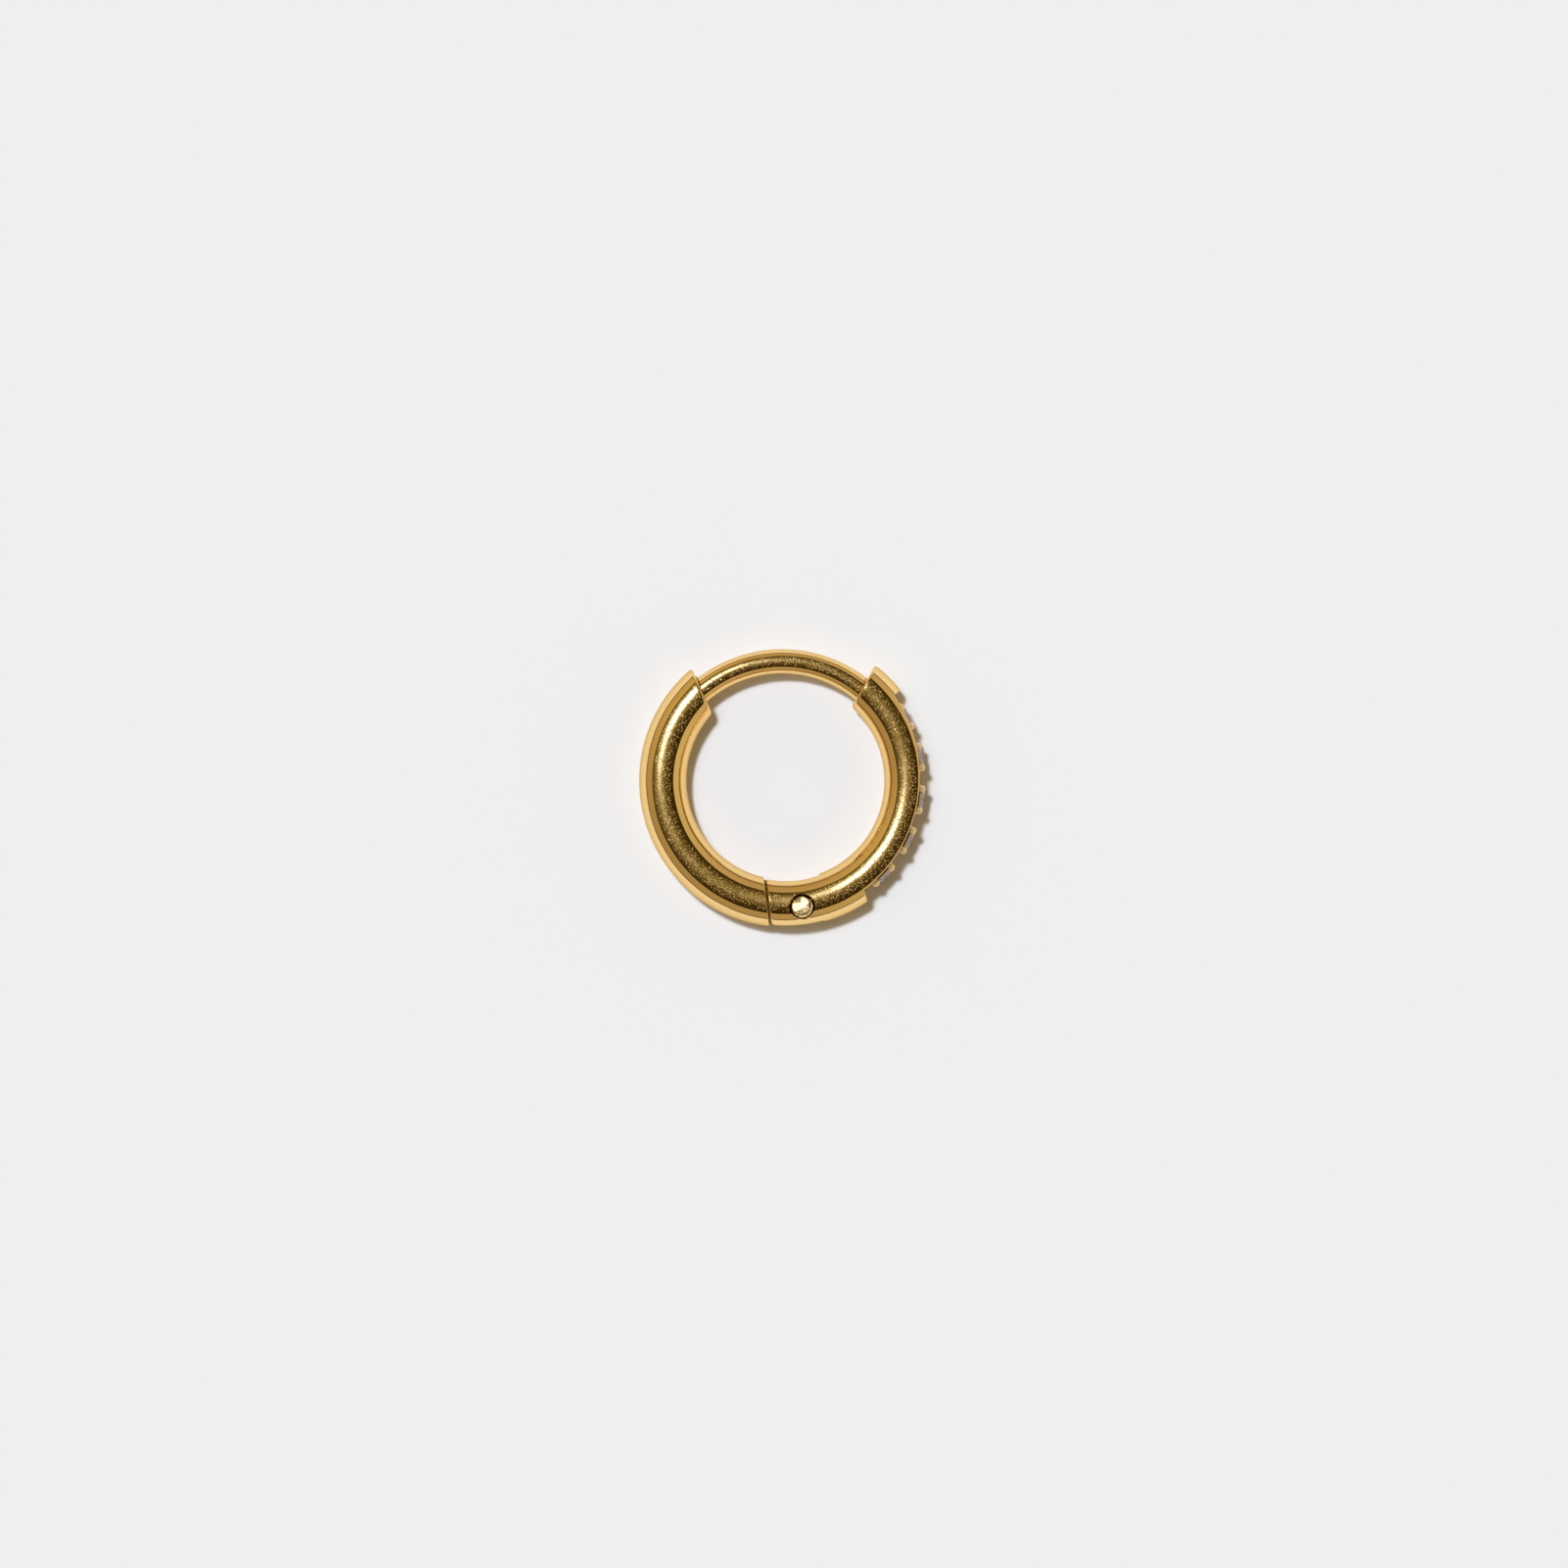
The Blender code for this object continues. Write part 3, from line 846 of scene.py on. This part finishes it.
@dataclass
class StoneRow:
    """Five round stones in a step along the front half's outer side, each held by four claws."""

    hoop: Hoop
    count: int = 5
    stone_diameter: float = 1.25 * MM
    first_angle: float = math.radians(-44.0)
    turn: float = math.radians(18.0)
    girdle_drop: float = 0.455 * MM
    seat_clearance: float = 0.02 * MM
    channel_start: float = math.radians(-54.3)
    channel_lean: float = math.radians(-18.0)
    channel_end: float = math.radians(38.2)
    channel_depth: float = 0.53 * MM
    channel_shift: float = 0.38 * MM
    channel_shift_angle: float = math.radians(155.0)
    edge_round: float = 0.06 * MM
    step_rim: float = 0.03 * MM
    edge_points: int = 6
    floor_points: int = 16
    claw_width: float = 0.37 * MM
    claw_tip_width: float = 0.31 * MM
    claw_rise: float = 0.18 * MM
    claw_root: float = 0.15 * MM
    claw_round: float = 0.14 * MM
    claw_tip_turn: float = math.radians(85.0)
    claw_tip_steps: int = 8
    claw_sides: int = 32

    def floor_radius(self, angle: float) -> float:
        """Returns the distance of the step's floor from the hoop's axis: an arc a little off that axis."""
        middle = (self.channel_start + self.channel_end) / 2
        centre = self.channel_shift * heading(self.channel_shift_angle)
        deepest = (self.hoop.outside / 2 - self.channel_depth) * heading(middle)
        radius = (deepest - centre).length
        along = centre.dot(heading(angle))
        return along + math.sqrt(along**2 - centre.length_squared + radius**2)

    @property
    def outer_count(self) -> int:
        """How many points of a section lie between the corners of the step's floor."""
        return 2 * self.edge_points + self.floor_points - 2

    def corner(self, angle: float) -> float:
        """Returns the section angle where the tube's round meets the rounded edge of the floor."""
        out = self.floor_radius(angle) - self.hoop.centreline - self.edge_round
        return math.acos(out / (self.hoop.tube_radius - self.edge_round))

    def section(self, tube: Tube, angle: float) -> Section:
        """Makes the stepped section: round inside, with a flat floor and rounded edges outside.

        Args:
            tube: The tube that the step is cut in.
            angle: Where along the hoop the section lies.

        Returns:
            Distance outward and height of each point, from the upper corner round the inside.
        """
        corner = self.corner(angle)
        floor = self.floor_radius(angle) - self.hoop.centreline
        half = (self.hoop.tube_radius - self.edge_round) * math.sin(corner)
        found = tube.circle(corner, self.outer_count)[: -self.outer_count]
        turns = [corner * i / self.edge_points for i in range(1, self.edge_points + 1)]
        lower = []
        for turn in turns:
            bend = corner - turn
            out = floor - self.edge_round + self.edge_round * math.cos(bend)
            lower.append((out, -half - self.edge_round * math.sin(bend)))
        upper = [(out, -height) for out, height in reversed(lower)]
        inside = self.floor_points - 2
        waves = [math.cos(math.pi * (i + 1) / (inside + 1)) for i in range(inside)]
        flat = [(floor, -half * wave) for wave in waves]
        return found + lower + flat + upper

    def wall(self, tube: Tube, face: EndFace, angle: float, opening: bool) -> list[list[Vector]]:
        """Makes the rings of a rounded outer rim where the tube ends at a step wall.

        Args:
            tube: The tube that the step is cut in.
            face: The wall's face.
            angle: The wall's angle.
            opening: Whether the rings run from the wall inwards.

        Returns:
            The rings, in order along the hoop.
        """
        full = tube.circle(self.corner(angle), self.outer_count)
        rings = []
        for step in range(1, tube.rim_steps + 1):
            bend = math.pi / 2 * step / tube.rim_steps
            drawn = tube.shrunk(full, self.step_rim * (1 - math.cos(bend)))
            kept = full[: -self.outer_count] + drawn[-self.outer_count :]
            inset = self.step_rim * (1 - math.sin(bend))
            inner = tube.ring(full, face, face, 0.0, (inset, inset))
            outer = tube.ring(kept, face, face, 0.0, (inset, inset))
            rings.append(inner[: -self.outer_count] + outer[-self.outer_count :])
        return rings[::-1] if opening else rings

    def angles(self) -> list[float]:
        """Returns each stone's angle about the hoop's axis."""
        return [self.first_angle + i * self.turn for i in range(self.count)]

    def seats(self) -> list[bmesh.types.BMesh]:
        """Makes a cutter for each stone's seat: the stone itself, a clearance larger all round."""
        cutters = []
        for number, angle in enumerate(self.angles(), start=1):
            mesh = bmesh.new()
            mesh.from_mesh(frame["nodes"][f"stone_{number}"].data)
            bmesh.ops.remove_doubles(mesh, verts=mesh.verts, dist=MERGE)
            bmesh.ops.recalc_face_normals(mesh, faces=mesh.faces)
            girdle = self.hoop.at(self.hoop.outside / 2 - self.girdle_drop, angle)
            scale = 1 + 2 * self.seat_clearance / self.stone_diameter
            for vertex in mesh.verts:
                vertex.co = girdle + (vertex.co - girdle) * scale
            cutters.append(mesh)
        return cutters

    def claw(self) -> bmesh.types.BMesh:
        """Makes one claw along +X: a tapered wire with a rounded tip, its root sunk below the step."""
        outside = self.hoop.outside / 2
        root = outside - self.channel_depth - self.claw_root
        length = outside - self.girdle_drop + self.claw_rise - root
        tip = self.claw_tip_width / 2
        profile = [(0.0, self.claw_width / 2)]
        for step in range(self.claw_tip_steps + 1):
            turn = self.claw_tip_turn * step / self.claw_tip_steps
            along = length - self.claw_round * (1 - math.sin(turn))
            profile.append((along, tip - self.claw_round * (1 - math.cos(turn))))
        return turned(Vector((root, 0.0, 0.0)), Vector((1.0, 0.0, 0.0)), profile, self.claw_sides)

    def claw_tree(self, material: bpy.types.Material) -> bpy.types.NodeTree:
        """Builds the Geometry Nodes tree that sets four claws about each stone.

        Args:
            material: The claws' finish.

        Returns:
            The tree, with named inputs for the claw and the sizes of the row.
        """
        tree = bpy.data.node_groups.new("claw row", "GeometryNodeTree")
        made = tree.interface
        made.new_socket("Geometry", in_out="OUTPUT", socket_type="NodeSocketGeometry")
        made.new_socket("Claw", in_out="INPUT", socket_type="NodeSocketGeometry")
        made.new_socket("Stones", in_out="INPUT", socket_type="NodeSocketInt")
        for name in ("First angle", "Turn", "Spread", "Middle height"):
            made.new_socket(name, in_out="INPUT", socket_type="NodeSocketFloat")
        given = add_node(tree, "NodeGroupInput").outputs
        square = add_node(
            tree,
            "GeometryNodeMeshGrid",
            {"Size X": given["Spread"], "Size Y": given["Spread"], "Vertices X": 2, "Vertices Y": 2},
        )
        lift = add_node(tree, "ShaderNodeCombineXYZ", {"Z": given["Middle height"]})
        upright = add_node(
            tree,
            "GeometryNodeTransform",
            {
                "Geometry": square.outputs["Mesh"],
                "Translation": lift.outputs[0],
                "Rotation": (0.0, math.pi / 2, 0.0),
            },
        )
        four = add_node(
            tree, "GeometryNodeInstanceOnPoints", {"Points": upright.outputs[0], "Instance": given["Claw"]}
        )
        number = add_node(tree, "GeometryNodeInputIndex").outputs[0]
        angle = add_node(
            tree,
            "ShaderNodeMath",
            {0: number, 1: given["Turn"], 2: given["First angle"]},
            operation="MULTIPLY_ADD",
        )
        turn = add_node(tree, "ShaderNodeCombineXYZ", {"Z": angle.outputs[0]})
        facing = add_node(tree, "FunctionNodeEulerToRotation", {0: turn.outputs[0]})
        stones = add_node(tree, "GeometryNodePoints", {"Count": given["Stones"]})
        row = add_node(
            tree,
            "GeometryNodeInstanceOnPoints",
            {"Points": stones.outputs[0], "Instance": four.outputs[0], "Rotation": facing.outputs[0]},
        )
        real = add_node(tree, "GeometryNodeRealizeInstances", {"Geometry": row.outputs[0]})
        finished = add_node(
            tree, "GeometryNodeSetMaterial", {"Geometry": real.outputs[0], "Material": material}
        )
        add_node(tree, "NodeGroupOutput", {"Geometry": finished.outputs[0]})
        return tree

    def build_claws(self, material: bpy.types.Material) -> bpy.types.Object:
        """Makes the claws as one piece, each cut to fit its stone's girdle.

        Args:
            material: The claws' finish.

        Returns:
            The finished piece.
        """
        tree = self.claw_tree(material)
        sizes = {
            "Stones": self.count,
            "First angle": self.first_angle,
            "Turn": self.turn,
            "Spread": self.stone_diameter * math.sqrt(0.5),
            "Middle height": self.hoop.tube_radius,
        }
        claws = piece("claw_row", self.claw())
        modifier = claws.modifiers.new("claw row", "NODES")
        modifier.node_group = tree
        for item in tree.interface.items_tree:
            if item.name in sizes:
                modifier[item.identifier] = sizes[item.name]
        made_plain(claws)
        combine(claws, Join.CUT, self.seats())
        smooth(claws)
        return claws


@dataclass
class FrontHalf:
    """The half that carries the stones: tube, step, cheeks, bore and socket."""

    hoop: Hoop
    hinge: HingePlan
    post: PostPlan
    row: StoneRow
    end: EndFace
    end_rim: float = 0.13 * MM
    seam_rim: float = 0.04 * MM

    def build(self, material: bpy.types.Material) -> bpy.types.Object:
        """Sweeps the tube from the seam to the ear gap and cuts its holes.

        Args:
            material: The metal.

        Returns:
            The finished piece.
        """
        tube = Tube(self.hoop)
        row = self.row
        seam = self.hinge.front_face()
        low_line = heading(row.channel_start + row.channel_lean)
        low_point = row.floor_radius(row.channel_start) * heading(row.channel_start)
        low_wall = EndFace(low_point, UP.cross(low_line), row.channel_start)
        high_line = heading(row.channel_end)
        high_wall = EndFace(self.hoop.centreline * high_line, UP.cross(high_line), row.channel_end)
        backward = EndFace(high_wall.point, -high_wall.normal, high_wall.near)
        low_round = tube.circle(row.corner(row.channel_start), row.outer_count)
        high_round = tube.circle(row.corner(row.channel_end), row.outer_count)

        def stepped(share: float) -> Section:
            """Returns the stepped section at a share of the way along the step."""
            span = row.channel_end - row.channel_start
            return row.section(tube, row.channel_start + span * share)

        rings = tube.rim(low_round, seam, self.seam_rim, opening=True)
        rings += tube.stretch(lambda share: low_round, seam, low_wall, (self.seam_rim, row.step_rim))
        rings += row.wall(tube, low_wall, row.channel_start, opening=False)
        rings += tube.stretch(stepped, low_wall, high_wall, (0.0, 0.0))
        rings += row.wall(tube, backward, row.channel_end, opening=True)
        rings += tube.stretch(lambda share: high_round, backward, self.end, (row.step_rim, self.end_rim))
        rings += tube.rim(high_round, self.end, self.end_rim, opening=False)
        front = piece("front_tube", mesh_of_rings(rings), material)
        combine(front, Join.CUT, [self.hinge.slot(), self.hinge.bore(), self.post.socket(), *row.seats()])
        smooth(front)
        return front


@dataclass
class BackHalf:
    """The half that swings: plain tube, catch, tongue and bore."""

    hoop: Hoop
    hinge: HingePlan
    post: PostPlan
    end: EndFace
    end_rim: float = 0.14 * MM
    seam_rim: float = 0.04 * MM
    corner: float = math.radians(60.0)

    def build(self, material: bpy.types.Material) -> bpy.types.Object:
        """Sweeps the tube from the ear gap to the seam, adds the tongue and cuts the holes.

        Args:
            material: The metal.

        Returns:
            The finished piece.
        """
        tube = Tube(self.hoop)
        seam = self.hinge.back_face()
        section = tube.circle(self.corner, round(self.hoop.sides * self.corner / math.pi))
        rings = tube.rim(section, self.end, self.end_rim, opening=True)
        rings += tube.stretch(lambda share: section, self.end, seam, (self.end_rim, self.seam_rim))
        rings += tube.rim(section, seam, self.seam_rim, opening=False)
        back = piece("back_tube", mesh_of_rings(rings), material)
        combine(back, Join.ADD, [self.hinge.tongue()])
        combine(back, Join.CUT, [self.hinge.bore(), self.post.catch()])
        smooth(back)
        return back


@dataclass
class EarPost:
    """The wire that goes through the ear, swept along its route by Geometry Nodes."""

    plan: PostPlan

    def tree(self, material: bpy.types.Material) -> bpy.types.NodeTree:
        """Builds the tree that sweeps a round wire along the route.

        Args:
            material: The wire's finish.

        Returns:
            The tree, with named inputs for the wire.
        """
        tree = bpy.data.node_groups.new("wire", "GeometryNodeTree")
        tree.interface.new_socket("Geometry", in_out="OUTPUT", socket_type="NodeSocketGeometry")
        tree.interface.new_socket("Route", in_out="INPUT", socket_type="NodeSocketGeometry")
        tree.interface.new_socket("Sides", in_out="INPUT", socket_type="NodeSocketInt")
        given = add_node(tree, "NodeGroupInput").outputs
        line = add_node(tree, "GeometryNodeMeshToCurve", {"Mesh": given["Route"]})
        thick = add_node(tree, "GeometryNodeInputNamedAttribute", {"Name": "wire_radius"})
        ring = add_node(
            tree, "GeometryNodeCurvePrimitiveCircle", {"Resolution": given["Sides"], "Radius": 1.0}
        )
        swept = add_node(
            tree,
            "GeometryNodeCurveToMesh",
            {
                "Curve": line.outputs[0],
                "Profile Curve": ring.outputs[0],
                "Scale": thick.outputs[0],
                "Fill Caps": True,
            },
        )
        real = add_node(tree, "GeometryNodeRealizeInstances", {"Geometry": swept.outputs[0]})
        finished = add_node(
            tree, "GeometryNodeSetMaterial", {"Geometry": real.outputs[0], "Material": material}
        )
        add_node(tree, "NodeGroupOutput", {"Geometry": finished.outputs[0]})
        return tree

    def build(self, material: bpy.types.Material) -> bpy.types.Object:
        """Sweeps the wire.

        Args:
            material: The metal.

        Returns:
            The finished piece.
        """
        route = self.plan.route()
        mesh = bmesh.new()
        radius_layer = mesh.verts.layers.float.new("wire_radius")
        vertices = []
        for point, radius in route:
            vertex = mesh.verts.new(point)
            vertex[radius_layer] = radius
            vertices.append(vertex)
        for first, second in zip(vertices, vertices[1:]):
            mesh.edges.new((first, second))
        wire = piece("ear_wire", mesh)
        modifier = wire.modifiers.new("wire", "NODES")
        tree = self.tree(material)
        modifier.node_group = tree
        for item in tree.interface.items_tree:
            if item.in_out == "INPUT" and item.name == "Sides":
                modifier[item.identifier] = self.plan.sides
        made_plain(wire)
        tidy = bmesh.new()
        tidy.from_mesh(wire.data)
        bmesh.ops.recalc_face_normals(tidy, faces=tidy.faces)
        tidy.to_mesh(wire.data)
        tidy.free()
        smooth(wire)
        return wire


class Place(NamedTuple):
    """A place on the rivet's end, as shares of its radius."""

    x: float
    y: float


@dataclass
class Rivet:
    """The hinge's rivet, both ends closed with a small hammer that came in from the upper left."""

    hinge: HingePlan
    sides: int = 96
    rows: int = 32
    sharp: float = math.radians(50.0)
    edge_round: float = 0.03 * MM
    crown: float = 0.050 * MM
    apex: Place = Place(0.7, -0.48)
    blows: tuple[Place, ...] = (
        Place(0.25, 0.5),
        Place(-0.4, 0.05),
        Place(-0.45, 0.65),
        Place(0.45, -0.3),
        Place(-0.1, -0.6),
        Place(0.2, -0.9),
        Place(0.85, 0.1),
    )
    groove_place: Place = Place(-0.1, 0.1)
    groove_radius: float = 0.42 * MM
    groove_width: float = 0.025 * MM
    groove_depth: float = 0.03 * MM

    def fall(self, x: float, y: float) -> float:
        """Returns how far the hammered crown lies below its apex, at a place on the rivet's end.

        Args:
            x: The place along X, from the rivet's axis.
            y: The place along Y, from the rivet's axis.

        Returns:
            The fall: each blow left the plane that touches the dome there, and an off-centre groove.
        """
        radius = self.hinge.pin_diameter / 2
        right = x / radius - self.apex.x
        up = y / radius - self.apex.y
        flats = []
        for blow in self.blows:
            a = blow.x - self.apex.x
            b = blow.y - self.apex.y
            flats.append(2 * (right * a + up * b) - a * a - b * b)
        out = math.hypot(x, y)
        edge = max(0.0, out - (radius - self.edge_round)) / self.edge_round
        rounding = self.edge_round * (1 - math.sqrt(max(0.0, 1 - edge**2)))
        off = math.hypot(x - radius * self.groove_place.x, y - radius * self.groove_place.y)
        groove = self.groove_depth * math.exp(-(((off - self.groove_radius) / self.groove_width) ** 2))
        return self.crown * max(flats) + rounding + groove

    def build(self, material: bpy.types.Material) -> bpy.types.Object:
        """Makes the rivet.

        Args:
            material: Its finish.

        Returns:
            The finished piece.
        """
        radius = self.hinge.pin_diameter / 2
        half = self.hinge.pin_length / 2
        rings = []
        for end in (-1, 1):
            rows = []
            for row in range(1, self.rows + 1):
                out = radius * row / self.rows
                ring = []
                for side in range(self.sides):
                    spot = out * heading(2 * math.pi * side / self.sides)
                    height = half - self.fall(spot.x, spot.y)
                    ring.append(self.hinge.pin + spot + UP * end * height)
                rows.append(ring)
            rings += rows if end < 0 else rows[::-1]
        rivet = piece("rivet", mesh_of_rings(rings), material)
        smooth(rivet, self.sharp)
        return rivet


@dataclass(frozen=True)
class Glow:
    """A soft patch of light in the studio, which the metal mirrors."""

    colour: str
    strength: float
    tilt: float
    azimuth: float
    softness: float

    def add_to(
        self, tree: bpy.types.NodeTree, way: bpy.types.NodeSocket, light: bpy.types.NodeSocket
    ) -> bpy.types.NodeSocket:
        """Adds the patch to the light that comes from each direction.

        Args:
            tree: The world's node tree.
            way: The direction.
            light: The light without the patch.

        Returns:
            The light with the patch.
        """
        middle = heading(self.azimuth) * math.sin(self.tilt) + UP * math.cos(self.tilt)
        near = add_node(tree, "ShaderNodeVectorMath", {0: way, 1: middle}, operation="DOT_PRODUCT")
        fall = add_node(
            tree,
            "ShaderNodeMath",
            {0: near.outputs["Value"], 1: 1 / self.softness, 2: -1 / self.softness},
            operation="MULTIPLY_ADD",
        )
        share = add_node(tree, "ShaderNodeMath", {0: fall.outputs[0]}, operation="EXPONENT")
        peak = [self.strength * c for c in linear(self.colour)[:3]]
        patch = add_node(
            tree, "ShaderNodeVectorMath", {0: peak, "Scale": share.outputs[0]}, operation="SCALE"
        )
        return add_node(tree, "ShaderNodeVectorMath", {0: light, 1: patch.outputs[0]}).outputs[0]


@dataclass
class Studio:
    """A pale card floor, one key light high on the left, and dim warm surroundings."""

    hoop: Hoop
    view_width: float = 64.26 * MM
    camera_height: float = 400.0 * MM
    clip_start: float = 1.0 * MM
    sensor: float = 36.0
    shift_x: float = -0.06 * MM
    shift_y: float = -0.135 * MM
    key_tilt: float = math.radians(20.5)
    key_azimuth: float = math.radians(127.0)
    key_size: float = math.radians(6.5)
    key_power: float = 2.40
    key_colour: str = "#E7EDF6"
    fill_power: float = 0.05
    fill_colour: str = "#F59AC0"
    fill_size: float = math.radians(170.0)
    ceiling: str = "#33270B"
    ceiling_size: float = math.radians(53.2)
    ceiling_edge: float = math.radians(1.0)
    walls: str = "#9F8E6E"
    foot: str = "#5E4718"
    foot_height: float = math.radians(4.5)
    glow_on_wall: Glow = Glow("#8E8B76", 1.0, math.radians(70.0), math.radians(-5.0), 0.64)
    glow_by_key: Glow = Glow("#6F6126", 1.0, math.radians(70.0), math.radians(142.0), 0.19)
    key_glow: Glow = Glow("#DCE6FF", 8.5, math.radians(22.0), math.radians(140.0), 0.012)
    haze: Glow = Glow("#FAF0A8", 0.38, math.radians(22.0), math.radians(140.0), 0.10)
    backdrop: str = "#EFEFEF"
    floor_size: float = 1200.0 * MM

    def build_floor(self, material: bpy.types.Material) -> bpy.types.Object:
        """Makes the card floor at z = 0."""
        half = self.floor_size / 2
        mesh = bmesh.new()
        corners = ((-half, -half), (half, -half), (half, half), (-half, half))
        mesh.faces.new([mesh.verts.new((x, y, 0.0)) for x, y in corners])
        floor = piece("floor", mesh, material)
        return floor

    def build_camera(self) -> bpy.types.Object:
        """Makes the camera, straight above the hoop as in the photograph."""
        lens = bpy.data.cameras.new("camera")
        lens.sensor_width = self.sensor
        lens.lens = self.sensor * self.camera_height / self.view_width
        lens.clip_start = self.clip_start
        camera = bpy.data.objects.new("camera", lens)
        camera.location = (self.shift_x, self.shift_y, self.hoop.tube_radius + self.camera_height)
        bpy.context.scene.collection.objects.link(camera)
        bpy.context.scene.camera = camera
        return camera

    def build_light(
        self, name: str, power: float, colour: str, size: float, tilt: float
    ) -> bpy.types.Object:
        """Makes a far light that the metal doesn't mirror, because its glow stands for it there.

        Args:
            name: The light's name.
            power: Its strength on a surface that faces it.
            colour: Its colour.
            size: The angle that it fills, seen from the hoop.
            tilt: How far from straight overhead it stands.

        Returns:
            The light.
        """
        light = bpy.data.lights.new(name, "SUN")
        light.energy = power
        light.color = linear(colour)[:3]
        light.angle = size
        lamp = bpy.data.objects.new(name, light)
        coming = heading(self.key_azimuth) * math.sin(tilt) + UP * math.cos(tilt)
        lamp.rotation_euler = coming.to_track_quat("Z", "Y").to_euler()
        lamp.visible_glossy = False
        bpy.context.scene.collection.objects.link(lamp)
        return lamp

    def build_surroundings(self) -> None:
        """Makes the room: a dark ceiling, warm walls with a dark foot, and a pale backdrop behind it."""
        world = bpy.data.worlds.new("studio")
        world.use_nodes = True
        tree = world.node_tree
        tree.nodes.clear()
        way = add_node(tree, "ShaderNodeTexCoord").outputs["Generated"]
        walls = add_node(tree, "ShaderNodeRGB").outputs[0]
        walls.default_value = linear(self.walls)
        walls = self.glow_on_wall.add_to(tree, way, walls)
        walls = self.glow_by_key.add_to(tree, way, walls)
        height = add_node(tree, "ShaderNodeSeparateXYZ", {0: way}).outputs["Z"]
        low = add_node(
            tree, "ShaderNodeMath", {0: height, 1: math.sin(self.foot_height)}, operation="LESS_THAN"
        )
        footed = add_node(tree, "ShaderNodeMix", {"Factor": low.outputs[0]}, data_type="RGBA")
        tree.links.new(walls, footed.inputs["A"])
        footed.inputs["B"].default_value = linear(self.foot)
        overhead = add_node(
            tree,
            "ShaderNodeMapRange",
            {
                "Value": height,
                "From Min": math.cos(self.ceiling_size + self.ceiling_edge),
                "From Max": math.cos(self.ceiling_size - self.ceiling_edge),
            },
            interpolation_type="SMOOTHSTEP",
        )
        room = add_node(tree, "ShaderNodeMix", {"Factor": overhead.outputs["Result"]}, data_type="RGBA")
        tree.links.new(footed.outputs["Result"], room.inputs["A"])
        room.inputs["B"].default_value = linear(self.ceiling)
        lit = self.key_glow.add_to(tree, way, room.outputs["Result"])
        lit = self.haze.add_to(tree, way, lit)
        around = add_node(tree, "ShaderNodeBackground", {"Color": lit})
        behind = add_node(tree, "ShaderNodeBackground", {"Color": linear(self.backdrop)})
        seen = add_node(tree, "ShaderNodeLightPath").outputs["Is Camera Ray"]
        both = add_node(
            tree, "ShaderNodeMixShader", {0: seen, 1: around.outputs[0], 2: behind.outputs[0]}
        )
        add_node(tree, "ShaderNodeOutputWorld", {"Surface": both.outputs[0]})
        bpy.context.scene.world = world
        bpy.context.scene.view_settings.view_transform = "Standard"

    def build(self) -> None:
        """Makes the whole studio."""
        self.build_floor(StudioPaper().material())
        self.build_camera()
        self.build_light("key", self.key_power, self.key_colour, self.key_size, self.key_tilt)
        self.build_light("fill", self.fill_power, self.fill_colour, self.fill_size, 0.0)
        self.build_surroundings()


@dataclass
class Earring:
    """The whole earring, from the sizes that its two halves share."""

    hoop: Hoop = field(default_factory=Hoop)
    front_end_angle: float = math.radians(50.6)
    front_end_lean: float = math.radians(9.6)
    back_end_angle: float = math.radians(132.9)

    def build(self) -> None:
        """Builds and dresses every piece, and hides the CAD nodes that they stand for."""
        gold = GoldPlate().material()
        hammered = GoldPlate(
            "gold plate, hammered", colour="#FFDFA8", roughness=0.12, grain_height=0.002 * MM
        ).material()
        cast = GoldPlate("gold plate, as cast", colour="#FFE2AE", roughness=0.5, metallic=0.7).material()
        clear = CubicZirconia().material()
        hoop = self.hoop
        pin = Vector(frame["joints"][0]["pos_m"])
        hinge = HingePlan(hoop, pin)
        front_line = heading(self.front_end_angle + self.front_end_lean)
        front_point = hoop.at(hoop.centreline, self.front_end_angle)
        back_point = hoop.at(hoop.centreline, self.back_end_angle)
        back_line = (back_point - pin).normalized()
        front_end = EndFace(front_point, UP.cross(front_line), self.front_end_angle)
        back_end = EndFace(back_point, -UP.cross(back_line), self.back_end_angle)
        post = PostPlan(hoop, front_point, front_line, back_point, back_line)
        row = StoneRow(hoop)
        dress(FrontHalf(hoop, hinge, post, row, front_end).build(gold), Body.FRONT, Slot.GOLD, "front_hoop")
        dress(row.build_claws(cast), Body.FRONT, Slot.GOLD, "front_hoop")
        dress(EarPost(post).build(gold), Body.FRONT, Slot.GOLD, "ear_post")
        dress(Rivet(hinge).build(hammered), Body.FRONT, Slot.RIVET, "hinge_pin")
        dress(BackHalf(hoop, hinge, post, back_end).build(gold), Body.BACK, Slot.GOLD, "back_hoop")
        for number in range(1, row.count + 1):
            frame["nodes"][f"stone_{number}"].material_slots[0].material = clear


def main() -> None:
    """Builds the earring and its studio."""
    logging.basicConfig(level=logging.INFO)
    Earring().build()
    Studio(Hoop()).build()


if __name__ == "__main__":
    main()
